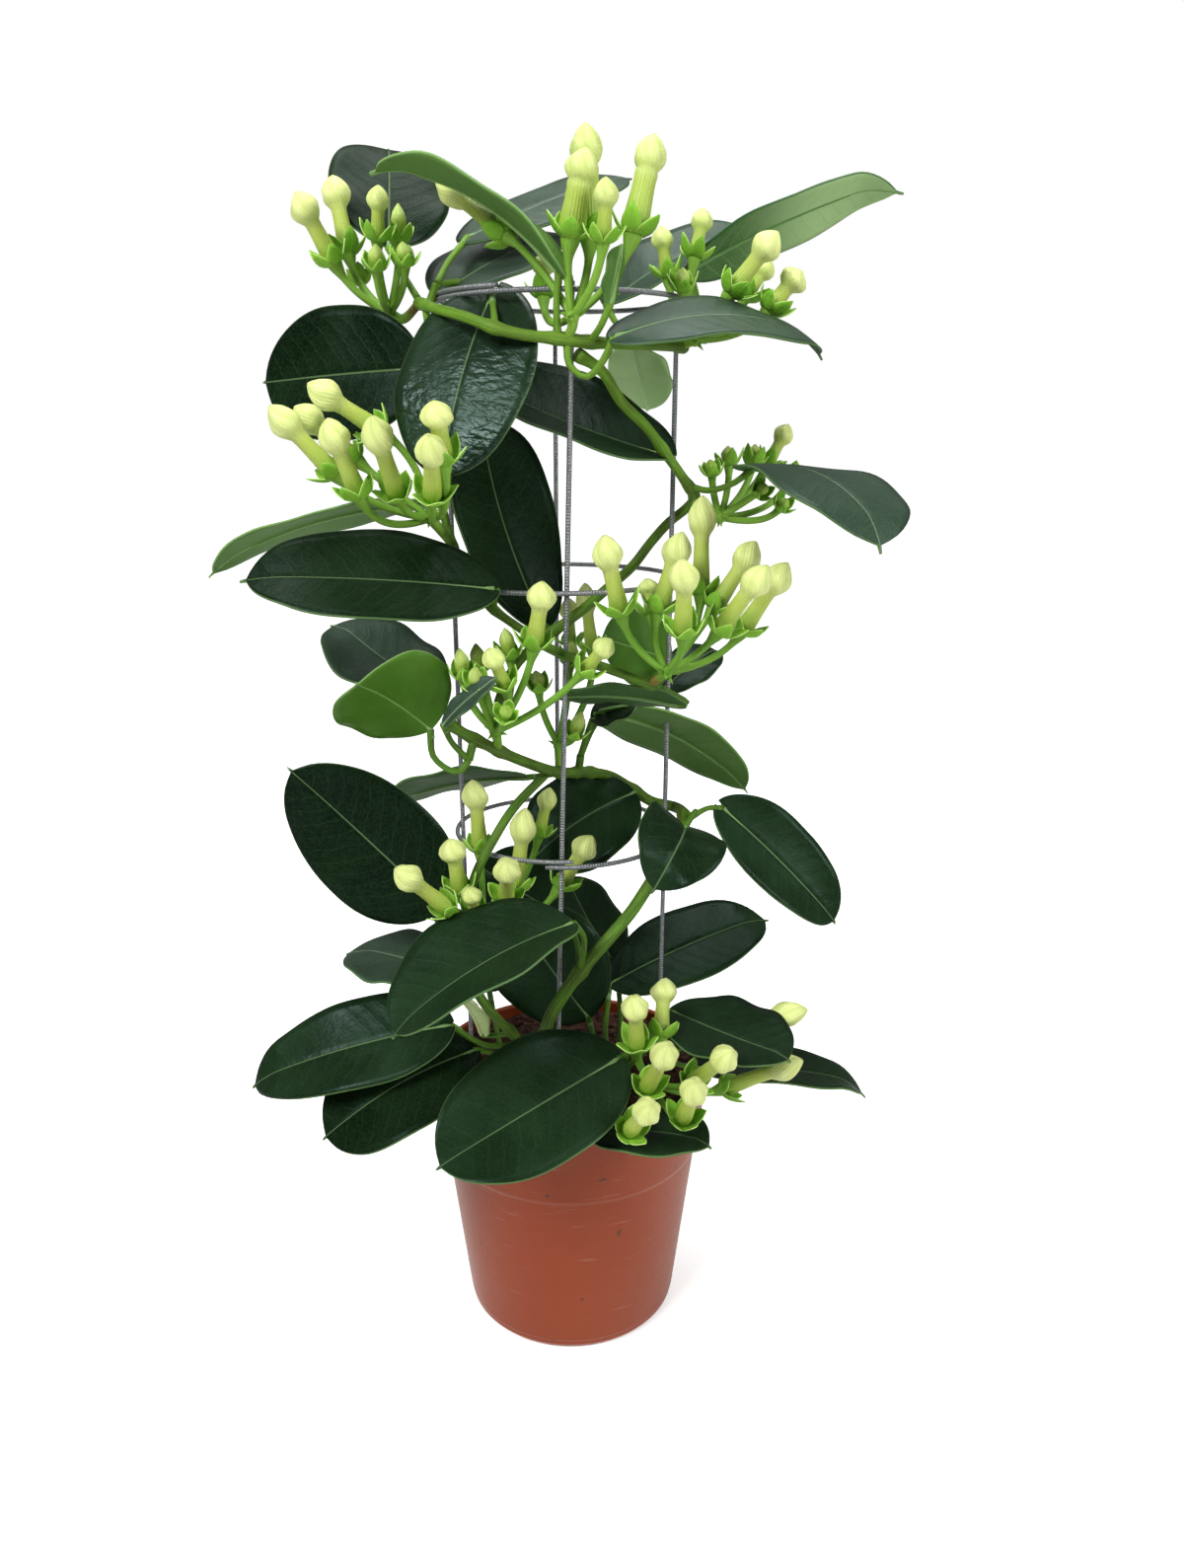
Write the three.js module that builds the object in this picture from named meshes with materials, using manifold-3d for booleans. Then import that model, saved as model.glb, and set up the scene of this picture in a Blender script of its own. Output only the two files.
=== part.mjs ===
// Madagascar jasmine (Stephanotis floribunda): a twining pot plant on a small wire cylinder,
// with leathery leaves, waxy flower buds in umbels, its soil and its nursery pot.
// Units are millimetres, +Z is up, and the origin is the centre of the pot's base.
import * as THREE from 'three';
import { mergeVertices } from 'three/addons/utils/BufferGeometryUtils.js';
import Module from 'manifold-3d';

// ---------------------------------------------------------------- driving dimensions
const GAP = 0.35;
const SLIVER = 0.2;

const POT = {
  height: 122, rimRadius: 65, baseRadius: 48.3, wall: 1.5, floor: 2.2, footRadius: 3,
  bandHeight: 36, bandStep: 0.7, lipHeight: 5, lipWidth: 1.4, sides: 24,
  drainRadius: 4, drainRing: 27, drains: 4,
};
const SOIL = { top: 117, crown: 2, bottom: 2.6, sides: 16 };

const WIRE = { radius: 1, sides: 4, spliceRise: 2.4, ringSteps: 28 };
const CAGE = { centreX: -2.6 };
const RINGS = [
  { name: 'trellis_ring_top', height: 452.5, radius: 48.7, start: 178, overlap: 66 },
  { name: 'trellis_ring_middle', height: 345, radius: 47.6, start: 200, overlap: 14 },
  { name: 'trellis_ring_bottom', height: 234.5, radius: 46.8, start: 262, overlap: 14 },
];
const UPRIGHTS = [
  { name: 'trellis_upright_front', top: [3, -45.6, 456], foot: [-7, -42.8, 56] },
  { name: 'trellis_upright_right', top: [43.3, 0, 456], foot: [40.8, 0, 56] },
  { name: 'trellis_upright_back', top: [-6, 45.6, 456], foot: [-7, 42.8, 56] },
  { name: 'trellis_upright_left', top: [-48.6, 0, 456], foot: [-46, 0, 56] },
];

const LEAF = { thickness: 0.9, rows: 5, stalkRadius: 1.2, stalkSides: 3, blunt: 0.97, narrow: 33 };
const BUD = { sides: 5, stalkSides: 3, stalkRadius: 1, hubRadius: 3, peduncleRadius: 1.7 };

// Bud grades: widths of head, throat and calyx, the sepals' reach, and the head's share of the length.
const GRADES = {
  plump: { head: 5.4, throat: 4, cup: 3.6, sepalOut: 7, sepalUp: 6.4, headShare: 0.34 },
  large: { head: 5.5, throat: 2.7, cup: 2.9, sepalOut: 6.2, sepalUp: 5.4, headShare: 0.36 },
  medium: { head: 4, throat: 2.2, cup: 2.5, sepalOut: 5.2, sepalUp: 4.6, headShare: 0.4 },
  small: { head: 2.7, throat: 1.8, cup: 2.1, sepalOut: 4.1, sepalUp: 4.4, headShare: 0.5 },
  green: { head: 2.3, throat: 1.5, cup: 1.7, sepalOut: 3.2, sepalUp: 3.6, headShare: 0.5 },
};

// Stems: the route of each shoot, from where it springs to its end, with its radius at both ends.
const STEMS = [
  {
    name: 'vine_lower',
    shoots: [
      {
        radius: [2.9, 2.1],
        route: [
          [-17, -33, 96], [-13, -44, 140], [-8, -54, 170], [-2, -55, 182], [5, -54, 192], [20, -50, 209],
          [26, -48, 216], [34, -41, 226], [41, -30, 233], [47, -16, 239], [50, -3, 243], [47, 9, 243],
          [37, 14, 244], [29, 18, 248], [19, 16, 255], [9, 6, 260], [-5, -22, 268], [-18, -38, 277],
          [-29, -48, 285], [-40, -52, 292], [-47, -52, 297],
        ],
      },
      {
        radius: [2.2, 1.9],
        route: [
          [-30, -22, 96], [-22, -38, 150], [-31, -50, 170], [-37, -54, 182], [-41, -53, 196], [-41, -50, 214],
          [-38, -46, 230], [-30, -40, 245], [-22, -32, 256], [-9, -24, 268],
        ],
      },
    ],
  },
  {
    name: 'vine_middle',
    shoots: [
      {
        radius: [2, 2],
        route: [
          [-29, -44, 290], [-27, -38, 302], [-20, -34, 316], [-11, -38, 325], [-5, -40, 330], [5, -38, 337],
          [17, -28, 346], [26, -14, 352], [35, 3, 361], [42, 8, 368], [49, 5, 374], [51.5, -3, 379],
          [46, -10, 387], [37.5, -15, 398], [31, -22, 406], [21, -34, 415], [13, -46, 426], [4.5, -51.5, 431],
        ],
      },
      { radius: [1.9, 1.9], route: [[-11, -38, 325], [0, -50, 322], [12, -53, 319], [25, -51, 314], [34, -47, 310]] },
    ],
  },
  {
    name: 'vine_left',
    shoots: [
      {
        radius: [1.7, 1.5],
        route: [
          [-14, -39, 328], [-19, -42, 332], [-29, -44, 340], [-38, -40, 351], [-44, -32, 362], [-49, -20, 374],
          [-52, -12, 385], [-53, -12, 394],
        ],
      },
    ],
  },
  {
    name: 'vine_top',
    shoots: [
      {
        radius: [1.9, 2.1],
        route: [
          [-57, -7, 452], [-54, -22, 450.5], [-45.5, -39, 447], [-35, -52, 443.5], [-24.5, -58, 439.5], [-14, -58.5, 437],
          [-1, -55, 436], [10, -52, 435], [28, -42, 435], [45, -14, 436],
        ],
      },
    ],
  },
  {
    name: 'vine_right',
    shoots: [{ radius: [2.3, 1.8], route: [[15, -28, 96], [19, -42, 134], [26, -52, 150], [36, -50, 158]] }],
  },
];

// Leaves: each node is one leaf, or a pair from one joint of the stem. `stalk` runs from inside the
// stem to the blade's base, `face` is the way the upper face looks, `bow` and `fold` bend the blade
// along and across, `lobe` and `notch` draw its margin back past the base and out past the tip, and
// `widest` is the share of its length at which it is widest.
const LEAVES = [
  { name: 'leaf_top_back', blades: [
    { stalk: [[-57, -7, 453], [-64, -2, 464]], base: [-69.5, 2, 473.5], tip: [-74, 44, 517.5],
      width: 48, face: [0.27, -0.67, 0.69], bow: 0.04, fold: 0.09, hook: 1.6, lobe: 0, notch: 0.01 }] },
  { name: 'leaf_top_arch', blades: [
    { stalk: [[-2, -55, 436], [-2.5, -58.5, 446]], base: [-1.5, -55.5, 457.5], tip: [-66, -43, 494],
      width: 41, face: [0.42, -0.06, 0.91], bow: 0.1, fold: 0.22, hook: 3.5, lobe: 0.08, widest: 0.43 }] },
  { name: 'leaves_top_rear', fork: [[-52, -18, 450], [-49, -16, 458]], blades: [
    { stalk: [[-49, -16, 458], [-46.5, 6, 469]], base: [-40.5, 23, 480], tip: [26, 47, 508],
      width: 46, face: [-0.22, -0.44, 0.87], bow: 0.02, fold: -0.03, hook: 2.4, lobe: 0.06, widest: 0.49 },
    { stalk: [[-49, -16, 458], [-47.5, -2, 460]], base: [-43.5, 12, 462], tip: [-2, 48.5, 486],
      width: 54, face: [-0.21, -0.45, 0.87], bow: 0.03, hook: 1.3, lobe: 0.19, notch: 0.01, widest: 0.38 }] },
  { name: 'leaves_behind_top', fork: [[43, -17, 436], [38, -12, 439]], blades: [
    { stalk: [[38, -12, 439], [21.5, 6, 444.5]], base: [15.5, 22, 454.5], tip: [77, 44.5, 487],
      width: 46, face: [-0.32, -0.44, 0.84], bow: 0.05, fold: 0.15, hook: 1.9, lobe: 0.01, notch: 0.03, widest: 0.51 },
    { stalk: [[38, -12, 439], [28, 7.5, 442]], base: [26, 17.5, 438], tip: [34, 37.5, 414],
      width: 28, face: [0.36, 0.72, 0.59], bow: 0.02, fold: 0.04, hook: 0.9, notch: 0.02, widest: 0.47 }] },
  { name: 'leaf_right_high', blades: [
    { stalk: [[46, -13, 436], [51, -2, 452]], base: [48, 5, 466], tip: [128.5, 19, 500.5],
      width: 36, face: [-0.42, 0.43, 0.8], bow: 0.03, fold: -0.11, hook: 6.8, notch: 0.02, widest: 0.38 }] },
  { name: 'leaf_right_front', blades: [
    { stalk: [[1, -54, 435], [2, -57, 427], [8, -59, 423], [13.5, -61.5, 428]], base: [17.5, -62.5, 436], tip: [97, -30.5, 435.5],
      width: 38, face: [0.01, -0.42, 0.91], bow: 0.11, fold: -0.03, hook: 5.7, widest: 0.46 }] },
  { name: 'leaf_left_upper', blades: [
    { stalk: [[-52, -27, 449], [-51, -30, 435.5]], base: [-53, -30, 427.5], tip: [-119.5, -6, 423],
      width: 50, face: [-0.3, -0.94, 0.15], bow: 0.03, lobe: 0, notch: 0.01 }] },
  { name: 'leaf_centre_glossy', blades: [
    { stalk: [[-24, -57.5, 440]], base: [-26.5, -37, 452.5], tip: [-43.5, -67.5, 389.5],
      width: 52, face: [-0.3, -0.88, 0.36], bow: 0.07, fold: -0.07, lobe: 0.09, notch: 0.04, widest: 0.48 }] },
  { name: 'leaf_centre_back', blades: [
    { stalk: [[37.5, -15, 398]], base: [40, -6.5, 395.5], tip: [-30, -7.5, 421.5],
      width: 54, face: [0.34, -0.49, 0.8], bow: -0.03, fold: 0.3, lobe: 0.05, notch: 0.07, widest: 0.64 }] },
  { name: 'leaf_centre_tall', blades: [
    { stalk: [[-6, -39, 330]], base: [-9, -26, 330], tip: [-32, -34, 409],
      width: 45, face: [0.57, -0.8, 0.19], bow: -0.08, fold: 0.18, hook: 0.7, lobe: 0.02, notch: 0.02, widest: 0.64 }] },
  { name: 'leaf_left_under', blades: [
    { stalk: [[-46, -27, 366], [-48.5, -25, 376]], base: [-52.5, -24, 378], tip: [-146, -10, 351.5],
      width: 36, face: [-0.23, 0.26, 0.94], bow: 0.06, fold: -0.05, hook: 3, notch: 0.02, widest: 0.49 }] },
  { name: 'leaf_left_long', blades: [
    { stalk: [[-28, -44, 340]], base: [-26, -50.5, 347.5], tip: [-116, -67, 354],
      width: 50, face: [0.1, -0.55, 0.83], bow: 0.02, fold: 0.12, hook: 2.1, lobe: 0.01, notch: 0.02, widest: 0.49 }] },
  { name: 'leaf_left_grey', blades: [
    { stalk: [[-46, -52, 296], [-48, -41, 299]], base: [-53, -23, 303], tip: [-95.5, -4.5, 328],
      width: 54, face: [0.18, -0.26, 0.95], bow: -0.05, fold: 0.04, hook: 2.8, lobe: 0, notch: 0.08, widest: 0.57 }] },
  { name: 'leaves_left_bright', fork: [[-36, -51, 290], [-38, -55, 282]], blades: [
    { stalk: [[-38, -55, 282], [-42, -58, 278], [-51, -58.5, 284]], base: [-52, -58.5, 295], tip: [-72, -78, 315.5],
      width: 48, face: [-0.43, -0.85, 0.31], bow: -0.06, fold: -0.2, lobe: 0, notch: 0.17, widest: 0.64 },
    { stalk: [[-38, -55, 282], [-43.5, -60, 290]], base: [-45.5, -71, 300], tip: [-26, -76.5, 318],
      width: 8, face: [-0.27, -0.71, 0.65], bow: 0.06, lobe: 0, notch: 0.07, widest: 0.51 }] },
  { name: 'leaf_right_upper', blades: [
    { stalk: [[50, -6.5, 383], [57, -13, 382], [66, -16, 385]], base: [73, -15.5, 390.5], tip: [111, -85, 369.5],
      width: 54, face: [0.25, -0.36, 0.9], bow: 0.12, fold: -0.03, hook: 5.9, lobe: 0.04, widest: 0.64 }] },
  { name: 'leaves_middle_rear', fork: [[34, -47, 310], [36, -40, 308]], blades: [
    { stalk: [[36, -40, 308], [38, -8, 307.5]], base: [44, 16, 308.5], tip: [13.5, -2, 321],
      width: 35, face: [0.4, -0.82, 0.41], bow: 0.02, fold: 0.12, lobe: 0.02, widest: 0.46 },
    { stalk: [[36, -40, 308], [38.5, -5.5, 298]], base: [43.5, 30.5, 293], tip: [68.5, 53, 307.5],
      width: 24, face: [0.04, -0.46, 0.89], bow: 0.06, fold: 0.07, hook: 2.2, lobe: 0.07, widest: 0.47 },
    { stalk: [[36, -40, 308], [47.5, -37.5, 301]], base: [44.5, -35.5, 300], tip: [-5.5, -37.5, 303],
      width: 26, face: [0.01, 0.48, 0.87], bow: 0.05, fold: 0.02, lobe: 0.07, widest: 0.47 }] },
  { name: 'leaves_middle_right', fork: [[4, -4, 263], [5, -6, 271]], blades: [
    { stalk: [[5, -6, 271], [7, -11, 279.5]], base: [10, -8, 287.5], tip: [31.5, -9, 298.5],
      width: 28, face: [-0.22, -0.27, 0.94] },
    { stalk: [[5, -6, 271], [11.5, -6.5, 285]], base: [16.5, -7.5, 290], tip: [81, 20, 248.5],
      width: 38, face: [0.12, 0.64, 0.76], bow: 0.08, fold: -0.05, hook: 2.4, lobe: 0.07, widest: 0.38 }] },
  { name: 'leaf_core_dark', blades: [
    { stalk: [[29, 18, 248]], base: [29, 8.5, 250], tip: [-16.5, -7, 224],
      width: 48, face: [-0.09, -0.67, 0.74], bow: 0.11, fold: 0.04, hook: 1, lobe: 0, notch: 0.02, widest: 0.57 }] },
  { name: 'leaves_right_low', fork: [[50, -3, 243], [54, -7, 244]], blades: [
    { stalk: [[54, -7, 244], [53.5, -20, 250]], base: [48.5, -32, 247], tip: [35.5, -64, 234],
      width: 36, face: [0.14, -0.81, 0.56], bow: 0.22, fold: 0.17, hook: 6.3, lobe: 0.45, widest: 0.49 },
    { stalk: [[54, -7, 244], [60.5, -2.5, 246]], base: [67.5, 1.5, 245], tip: [118.5, -9, 195],
      width: 37, face: [0.37, -0.78, 0.5], bow: 0.04, fold: 0.25, hook: 1.4, lobe: 0.05, notch: 0.01, widest: 0.43 }] },
  { name: 'leaf_left_big', blades: [
    { stalk: [[-41, -50, 216], [-47, -43.5, 211.5]], base: [-53, -38.5, 212.5], tip: [-108, -43, 272],
      width: 52, face: [0.01, -0.99, 0.15], bow: -0.03, fold: 0.03, lobe: 0, notch: 0.07, widest: 0.42 }] },
  { name: 'leaf_left_edge', blades: [
    { stalk: [[9, 6, 260], [-5.5, 13.5, 257]], base: [-19.5, 19.5, 254], tip: [-85.5, 36.5, 236.5],
      width: 41, face: [0.12, 0.41, 0.9], bow: 0.05, fold: 0.07, lobe: 0.01, notch: 0.02, widest: 0.53 }] },
  { name: 'leaf_behind_buds', blades: [
    { stalk: [[5, -54, 192], [2, -20, 194]], base: [-6, -4, 197], tip: [-40, -10, 222],
      width: 40, face: [0.1, -0.91, 0.4] }] },
  { name: 'leaf_left_small', blades: [
    { stalk: [[-41, -52, 196]], base: [-52, -48.5, 189.5], tip: [-88, -34, 193],
      width: 47, face: [0.08, -0.08, 0.99], bow: 0.03, fold: 0.02, hook: 1.1, notch: 0.22, widest: 0.52 }] },
  { name: 'leaf_front_big', blades: [
    { stalk: [[5, -54, 192], [6.5, -63, 211.5]], base: [2.5, -67, 219], tip: [-64.5, -104.5, 191],
      width: 54, face: [-0.11, -0.17, 0.98], bow: 0.07, fold: 0.3, hook: 2.5, lobe: 0, notch: 0.01, widest: 0.49 }] },
  { name: 'leaf_left_low', blades: [
    { stalk: [[-22, -38, 150], [-36, -55, 159.5]], base: [-48, -61, 171.5], tip: [-130.5, -64.5, 147.5],
      width: 40, face: [-0.23, -0.61, 0.76], bow: 0.06, fold: 0.1, hook: 4.2, lobe: 0.02, notch: 0.03, widest: 0.38 }] },
  { name: 'leaf_left_lowest', blades: [
    { stalk: [[-25, -31, 130], [-33, -47.5, 151.5]], base: [-39, -58.5, 158.5], tip: [-98, -83, 132],
      width: 51, face: [-0.28, -0.5, 0.82], bow: 0.09, widest: 0.55 }] },
  { name: 'leaf_front_low', blades: [
    { stalk: [[25, -51, 149], [23.5, -58.5, 156.5]], base: [20.5, -65.5, 158.5], tip: [-49, -111.5, 138],
      width: 54, face: [0.05, -0.58, 0.81], bow: 0.01, fold: 0.22, hook: 1.6, widest: 0.48 }] },
  { name: 'leaf_curled_pale', blades: [
    { stalk: [[-26, -43, 158], [-33, -39, 155]], base: [-37, -38, 155], tip: [-50, -38, 175.5],
      width: 22, face: [0.91, 0.35, 0.2], bow: 0.08, fold: 0.3 }] },
  { name: 'leaves_inner', fork: [[18, -36, 124], [16, -26, 126]], blades: [
    { stalk: [[16, -26, 126], [12, -7.5, 131.5]], base: [8, 0.5, 143.5], tip: [-26.5, 4.5, 194],
      width: 54, face: [-0.19, -0.93, 0.31], bow: 0.04, fold: -0.11, lobe: 0.02, widest: 0.55 },
    { stalk: [[16, -26, 126], [23, 1.5, 135.5]], base: [22, 23.5, 158.5], tip: [-1.5, 29.5, 200.5],
      width: 42, face: [0.75, -0.53, 0.4], bow: -0.03, notch: 0.04, widest: 0.42 }] },
  { name: 'leaf_right_mid', blades: [
    { stalk: [[23, -47, 142], [16, -18.5, 142]], base: [18, 7.5, 157], tip: [91.5, 29, 182],
      width: 44, face: [-0.21, -0.47, 0.86], bow: 0.04, fold: 0.04, hook: 3.2, lobe: 0.01, notch: 0.04, widest: 0.52 }] },
  { name: 'leaves_right_rim', fork: [[35, -49, 158], [40, -42, 156]], blades: [
    { stalk: [[40, -42, 156]], base: [43, -36, 166], tip: [90.5, -70, 162],
      width: 51, face: [0.08, -0.09, 0.99], bow: -0.02, fold: 0.1, hook: 2.9, lobe: 0 },
    { stalk: [[40, -42, 156], [46.5, -30, 137]], base: [55.5, -22, 130], tip: [130, -30.5, 127.5],
      width: 39, face: [0.21, 0.07, 0.98], bow: 0.04, fold: 0.08, hook: 5.6, notch: 0.03, widest: 0.49 }] },
  { name: 'leaf_right_bottom', blades: [
    { stalk: [[24, -50, 146], [8.5, -60, 132.5]], base: [11.5, -67, 127.5], tip: [57.5, -84, 132],
      width: 44, face: [0.29, -0.04, 0.96], bow: 0.03, fold: 0.05, hook: 3.3, lobe: 0.05 }] },
  { name: 'leaf_young', blades: [
    { stalk: [[9, -52, 435], [13, -60, 440]], base: [16, -60, 447], tip: [20, -61, 466],
      width: 8, face: [-0.7, 0.7, 0.12], fold: 0.3 }] },
  { name: 'leaf_rear_upper', blades: [
    { stalk: [[-53, -12, 392], [-52, 14, 398]], base: [-46, 34, 402], tip: [-38, 72, 455],
      width: 44, face: [0, 0.85, 0.53], bow: 0.06 }] },
  { name: 'leaf_rear_lower', blades: [
    { stalk: [[-26, -29, 120], [-34, 2, 132]], base: [-40, 26, 146], tip: [-66, 78, 168],
      width: 46, face: [0.11, 0.53, 0.84], bow: 0.08 }] },
];

// Umbels: `root` is inside the stem, `hub` is where the flower stalks part, and each bud has the
// point of its calyx, the point of its tip and its grade.
const UMBELS = [
  { name: 'umbel_top_left', root: [[-57, -8, 452], [-63, -12, 446]], hub: [-68, -12, 448], buds: [
    [[-87, -16, 465], [-99, -22, 489], 'large'], [[-84, -4, 470], [-90, 2, 499], 'large'],
    [[-70, -20, 472.5], [-68, -24, 491], 'medium'], [[-63.5, -10, 473], [-63.5, -8, 487.5], 'small'],
    [[-69.5, -28, 461.5], [-69, -32, 470], 'small'], [[-59.5, -24, 463.5], [-59, -27, 471.5], 'small'],
    [[-81.5, 6, 461.5], [-83.5, 12, 469], 'green']] },
  { name: 'umbel_top', root: [[1, -54, 436], [3, -57, 440]], hub: [3, -58, 443], buds: [
    [[9, -54, 469], [7.5, -56, 504.5], 'plump'], [[2.5, -63, 467.5], [7.5, -66.5, 495], 'plump'],
    [[24, -52, 470], [31.5, -50, 502.5], 'plump'], [[13.5, -70, 465], [15, -74, 484.5], 'medium'],
    [[-20, -38, 471.5], [-47.5, -14, 495], 'large'], [[-8, -30, 452], [-8, -26, 467], 'medium']] },
  { name: 'umbel_top_right', root: [[44, -16, 436]], hub: [49, -20, 438], buds: [
    [[39, -6, 461.5], [36, -6, 480], 'medium'], [[49, -8, 468], [53, -4, 486.5], 'medium'],
    [[60.5, -30, 453], [77, -34, 474], 'large'], [[68.5, -12, 453.5], [78, -8, 467.5], 'medium'],
    [[75.5, -24, 447.5], [87.5, -24, 462], 'large'], [[43.5, -26, 454.5], [43, -29, 462.5], 'small']] },
  { name: 'umbel_left', root: [[-44, -32, 362]], hub: [-51, -42, 373], buds: [
    [[-83.5, -52, 389], [-105.5, -56, 413.5], 'large'], [[-77.5, -42, 394], [-99.5, -44, 413.5], 'large'],
    [[-66, -50, 404], [-91, -58, 421], 'large'], [[-72.5, -68, 382], [-81, -78, 409], 'large'],
    [[-60, -62, 382], [-64.5, -84, 409.5], 'large'], [[-40.5, -82, 394], [-42, -90, 414.5], 'large'],
    [[-46, -74, 382], [-43, -94, 403.5], 'large']] },
  { name: 'umbel_right', root: [[51, -4, 378]], hub: [62, -5, 371], buds: [
    [[58, -8, 387.5], [57.5, -10, 394], 'green'], [[65.5, 0, 391], [65, 1, 399], 'small'],
    [[76.5, 10, 391], [78.5, 14, 399.5], 'small'], [[83, 16, 390.5], [93, 22, 407.5], 'medium'],
    [[91.5, 8, 385], [95, 10, 392.5], 'small'], [[86, -6, 374.5], [88.5, -9, 378.5], 'green'],
    [[76, -12, 381], [79, -17, 384], 'green']] },
  { name: 'umbel_centre', root: [[33, -48, 311]], hub: [38, -57, 317], buds: [
    [[20.5, -66, 340], [13.5, -72, 369.5], 'large'], [[34.5, -54, 339], [43.5, -52, 369], 'large'],
    [[52, -38, 343.5], [52.5, -28, 381], 'large'], [[42.5, -76, 334], [42, -86, 362.5], 'large'],
    [[56.5, -42, 338.5], [73.5, -36, 364], 'large'], [[56, -66, 333.5], [72.5, -74, 359], 'large'],
    [[66, -54, 331.5], [82.5, -56, 358], 'large'], [[33, -40, 336.5], [31, -36, 350], 'medium']] },
  { name: 'umbel_inner', root: [[-4, -20, 267]], hub: [-4, -16, 278], buds: [
    [[0.5, 2, 317], [0, 6, 337], 'medium'], [[10, -10, 317], [6.5, -12, 345.5], 'medium'],
    [[-12, -20, 302], [-12.5, -22, 311], 'small'], [[1.5, -19, 282], [6, -22, 294], 'small'],
    [[1, -22, 313.5], [2, -25, 323.5], 'small']] },
  { name: 'umbel_cluster', root: [[-27, -46, 284]], hub: [-27, -57, 294], buds: [
    [[-38.5, -62, 315.5], [-39, -64, 327.5], 'small'], [[-32.5, -52, 316], [-35, -51, 327], 'small'],
    [[-22, -70, 313.5], [-27, -76, 329.5], 'medium'], [[-21, -56, 322], [-23, -57, 334], 'small'],
    [[-12, -62, 327], [-7.5, -66, 352.5], 'large'], [[-32.5, -68, 313.5], [-33, -76, 322.5], 'small'],
    [[-22, -76, 304], [-21, -82, 309], 'green'], [[6, -62, 317.5], [17, -66, 331], 'medium']] },
  { name: 'umbel_lower', root: [[-41, -52, 203]], hub: [-35, -48, 203], buds: [
    [[-46, -62, 222], [-66, -72, 244], 'large'], [[-43.5, -50, 225], [-46.5, -52, 249], 'large'],
    [[-37, -30, 235.5], [-39, -26, 266], 'large'], [[-22, -36, 220.5], [-17.5, -36, 256.5], 'large'],
    [[-13, -18, 238], [-8, -14, 259], 'medium'], [[-25, -50, 222], [-23, -66, 244.5], 'large'],
    [[-37, -57, 217], [-38, -62, 232], 'medium'], [[-4, -34, 221], [10, -32, 243.5], 'large']] },
  { name: 'umbel_pot', root: [[28, -51, 151]], hub: [34, -62, 146], buds: [
    [[38, -62, 166], [40, -48, 186.5], 'large'], [[28, -70, 166], [26.5, -78, 193], 'large'],
    [[31.5, -78, 152], [39.5, -98, 182.5], 'large'], [[50, -72, 151], [65, -90, 175.5], 'large'],
    [[46, -82, 140.5], [50, -102, 169], 'large'], [[24.5, -88, 139], [32.5, -108, 163], 'large'],
    [[64.5, -52, 136.5], [98.5, -54, 151.5], 'large'], [[66, -34, 156], [104, -28, 162], 'large']] },
];

const FINISH = {
  pot: { color: 0xa9502f, roughness: 0.45, metalness: 0 },
  soil: { color: 0x3a221b, roughness: 1, metalness: 0 },
  wire: { color: 0x8d9394, roughness: 0.45, metalness: 0.8 },
  stem: { color: 0x4f7a2c, roughness: 0.6, metalness: 0 },
  leaf: { color: 0x22382a, roughness: 0.4, metalness: 0 },
  bud: { color: 0xd3e08a, roughness: 0.5, metalness: 0 },
};

// ---------------------------------------------------------------- solids and meshes
const wasm = await Module();
wasm.setup();

const vec = (p) => new THREE.Vector3(...p);

/** Turns a closed triangle geometry into a solid. */
function solidOf(geometry) {
  const bare = geometry.index ? geometry.toNonIndexed() : geometry.clone();
  for (const attribute of Object.keys(bare.attributes)) {
    if (attribute !== 'position') bare.deleteAttribute(attribute);
  }
  const merged = mergeVertices(bare, 1e-4);
  return new wasm.Manifold(new wasm.Mesh({
    numProp: 3,
    vertProperties: new Float32Array(merged.attributes.position.array),
    triVerts: new Uint32Array(merged.index.array),
  }));
}

/** Gives a solid back as a geometry with flat-shaded faces. */
function geometryOf(solid) {
  const mesh = solid.getMesh();
  const geometry = new THREE.BufferGeometry();
  geometry.setAttribute('position', new THREE.BufferAttribute(new Float32Array(mesh.vertProperties), 3));
  geometry.setIndex(new THREE.BufferAttribute(new Uint32Array(mesh.triVerts), 1));
  const flat = geometry.toNonIndexed();
  flat.computeVertexNormals();
  return flat;
}

/** Joins solids into one. */
const union = (solids) => wasm.Manifold.union(solids);

/** Keeps the biggest body of a solid, without slivers smaller than the tolerance. */
function mainBody(solid) {
  const bodies = solid.simplify(SLIVER).decompose();
  return bodies.reduce((best, body) => (body.volume() > best.volume() ? body : best));
}

function meshNode(name, solid, finish) {
  const material = new THREE.MeshStandardMaterial({ flatShading: true, ...finish });
  const mesh = new THREE.Mesh(geometryOf(solid), material);
  mesh.name = name;
  return mesh;
}

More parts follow.
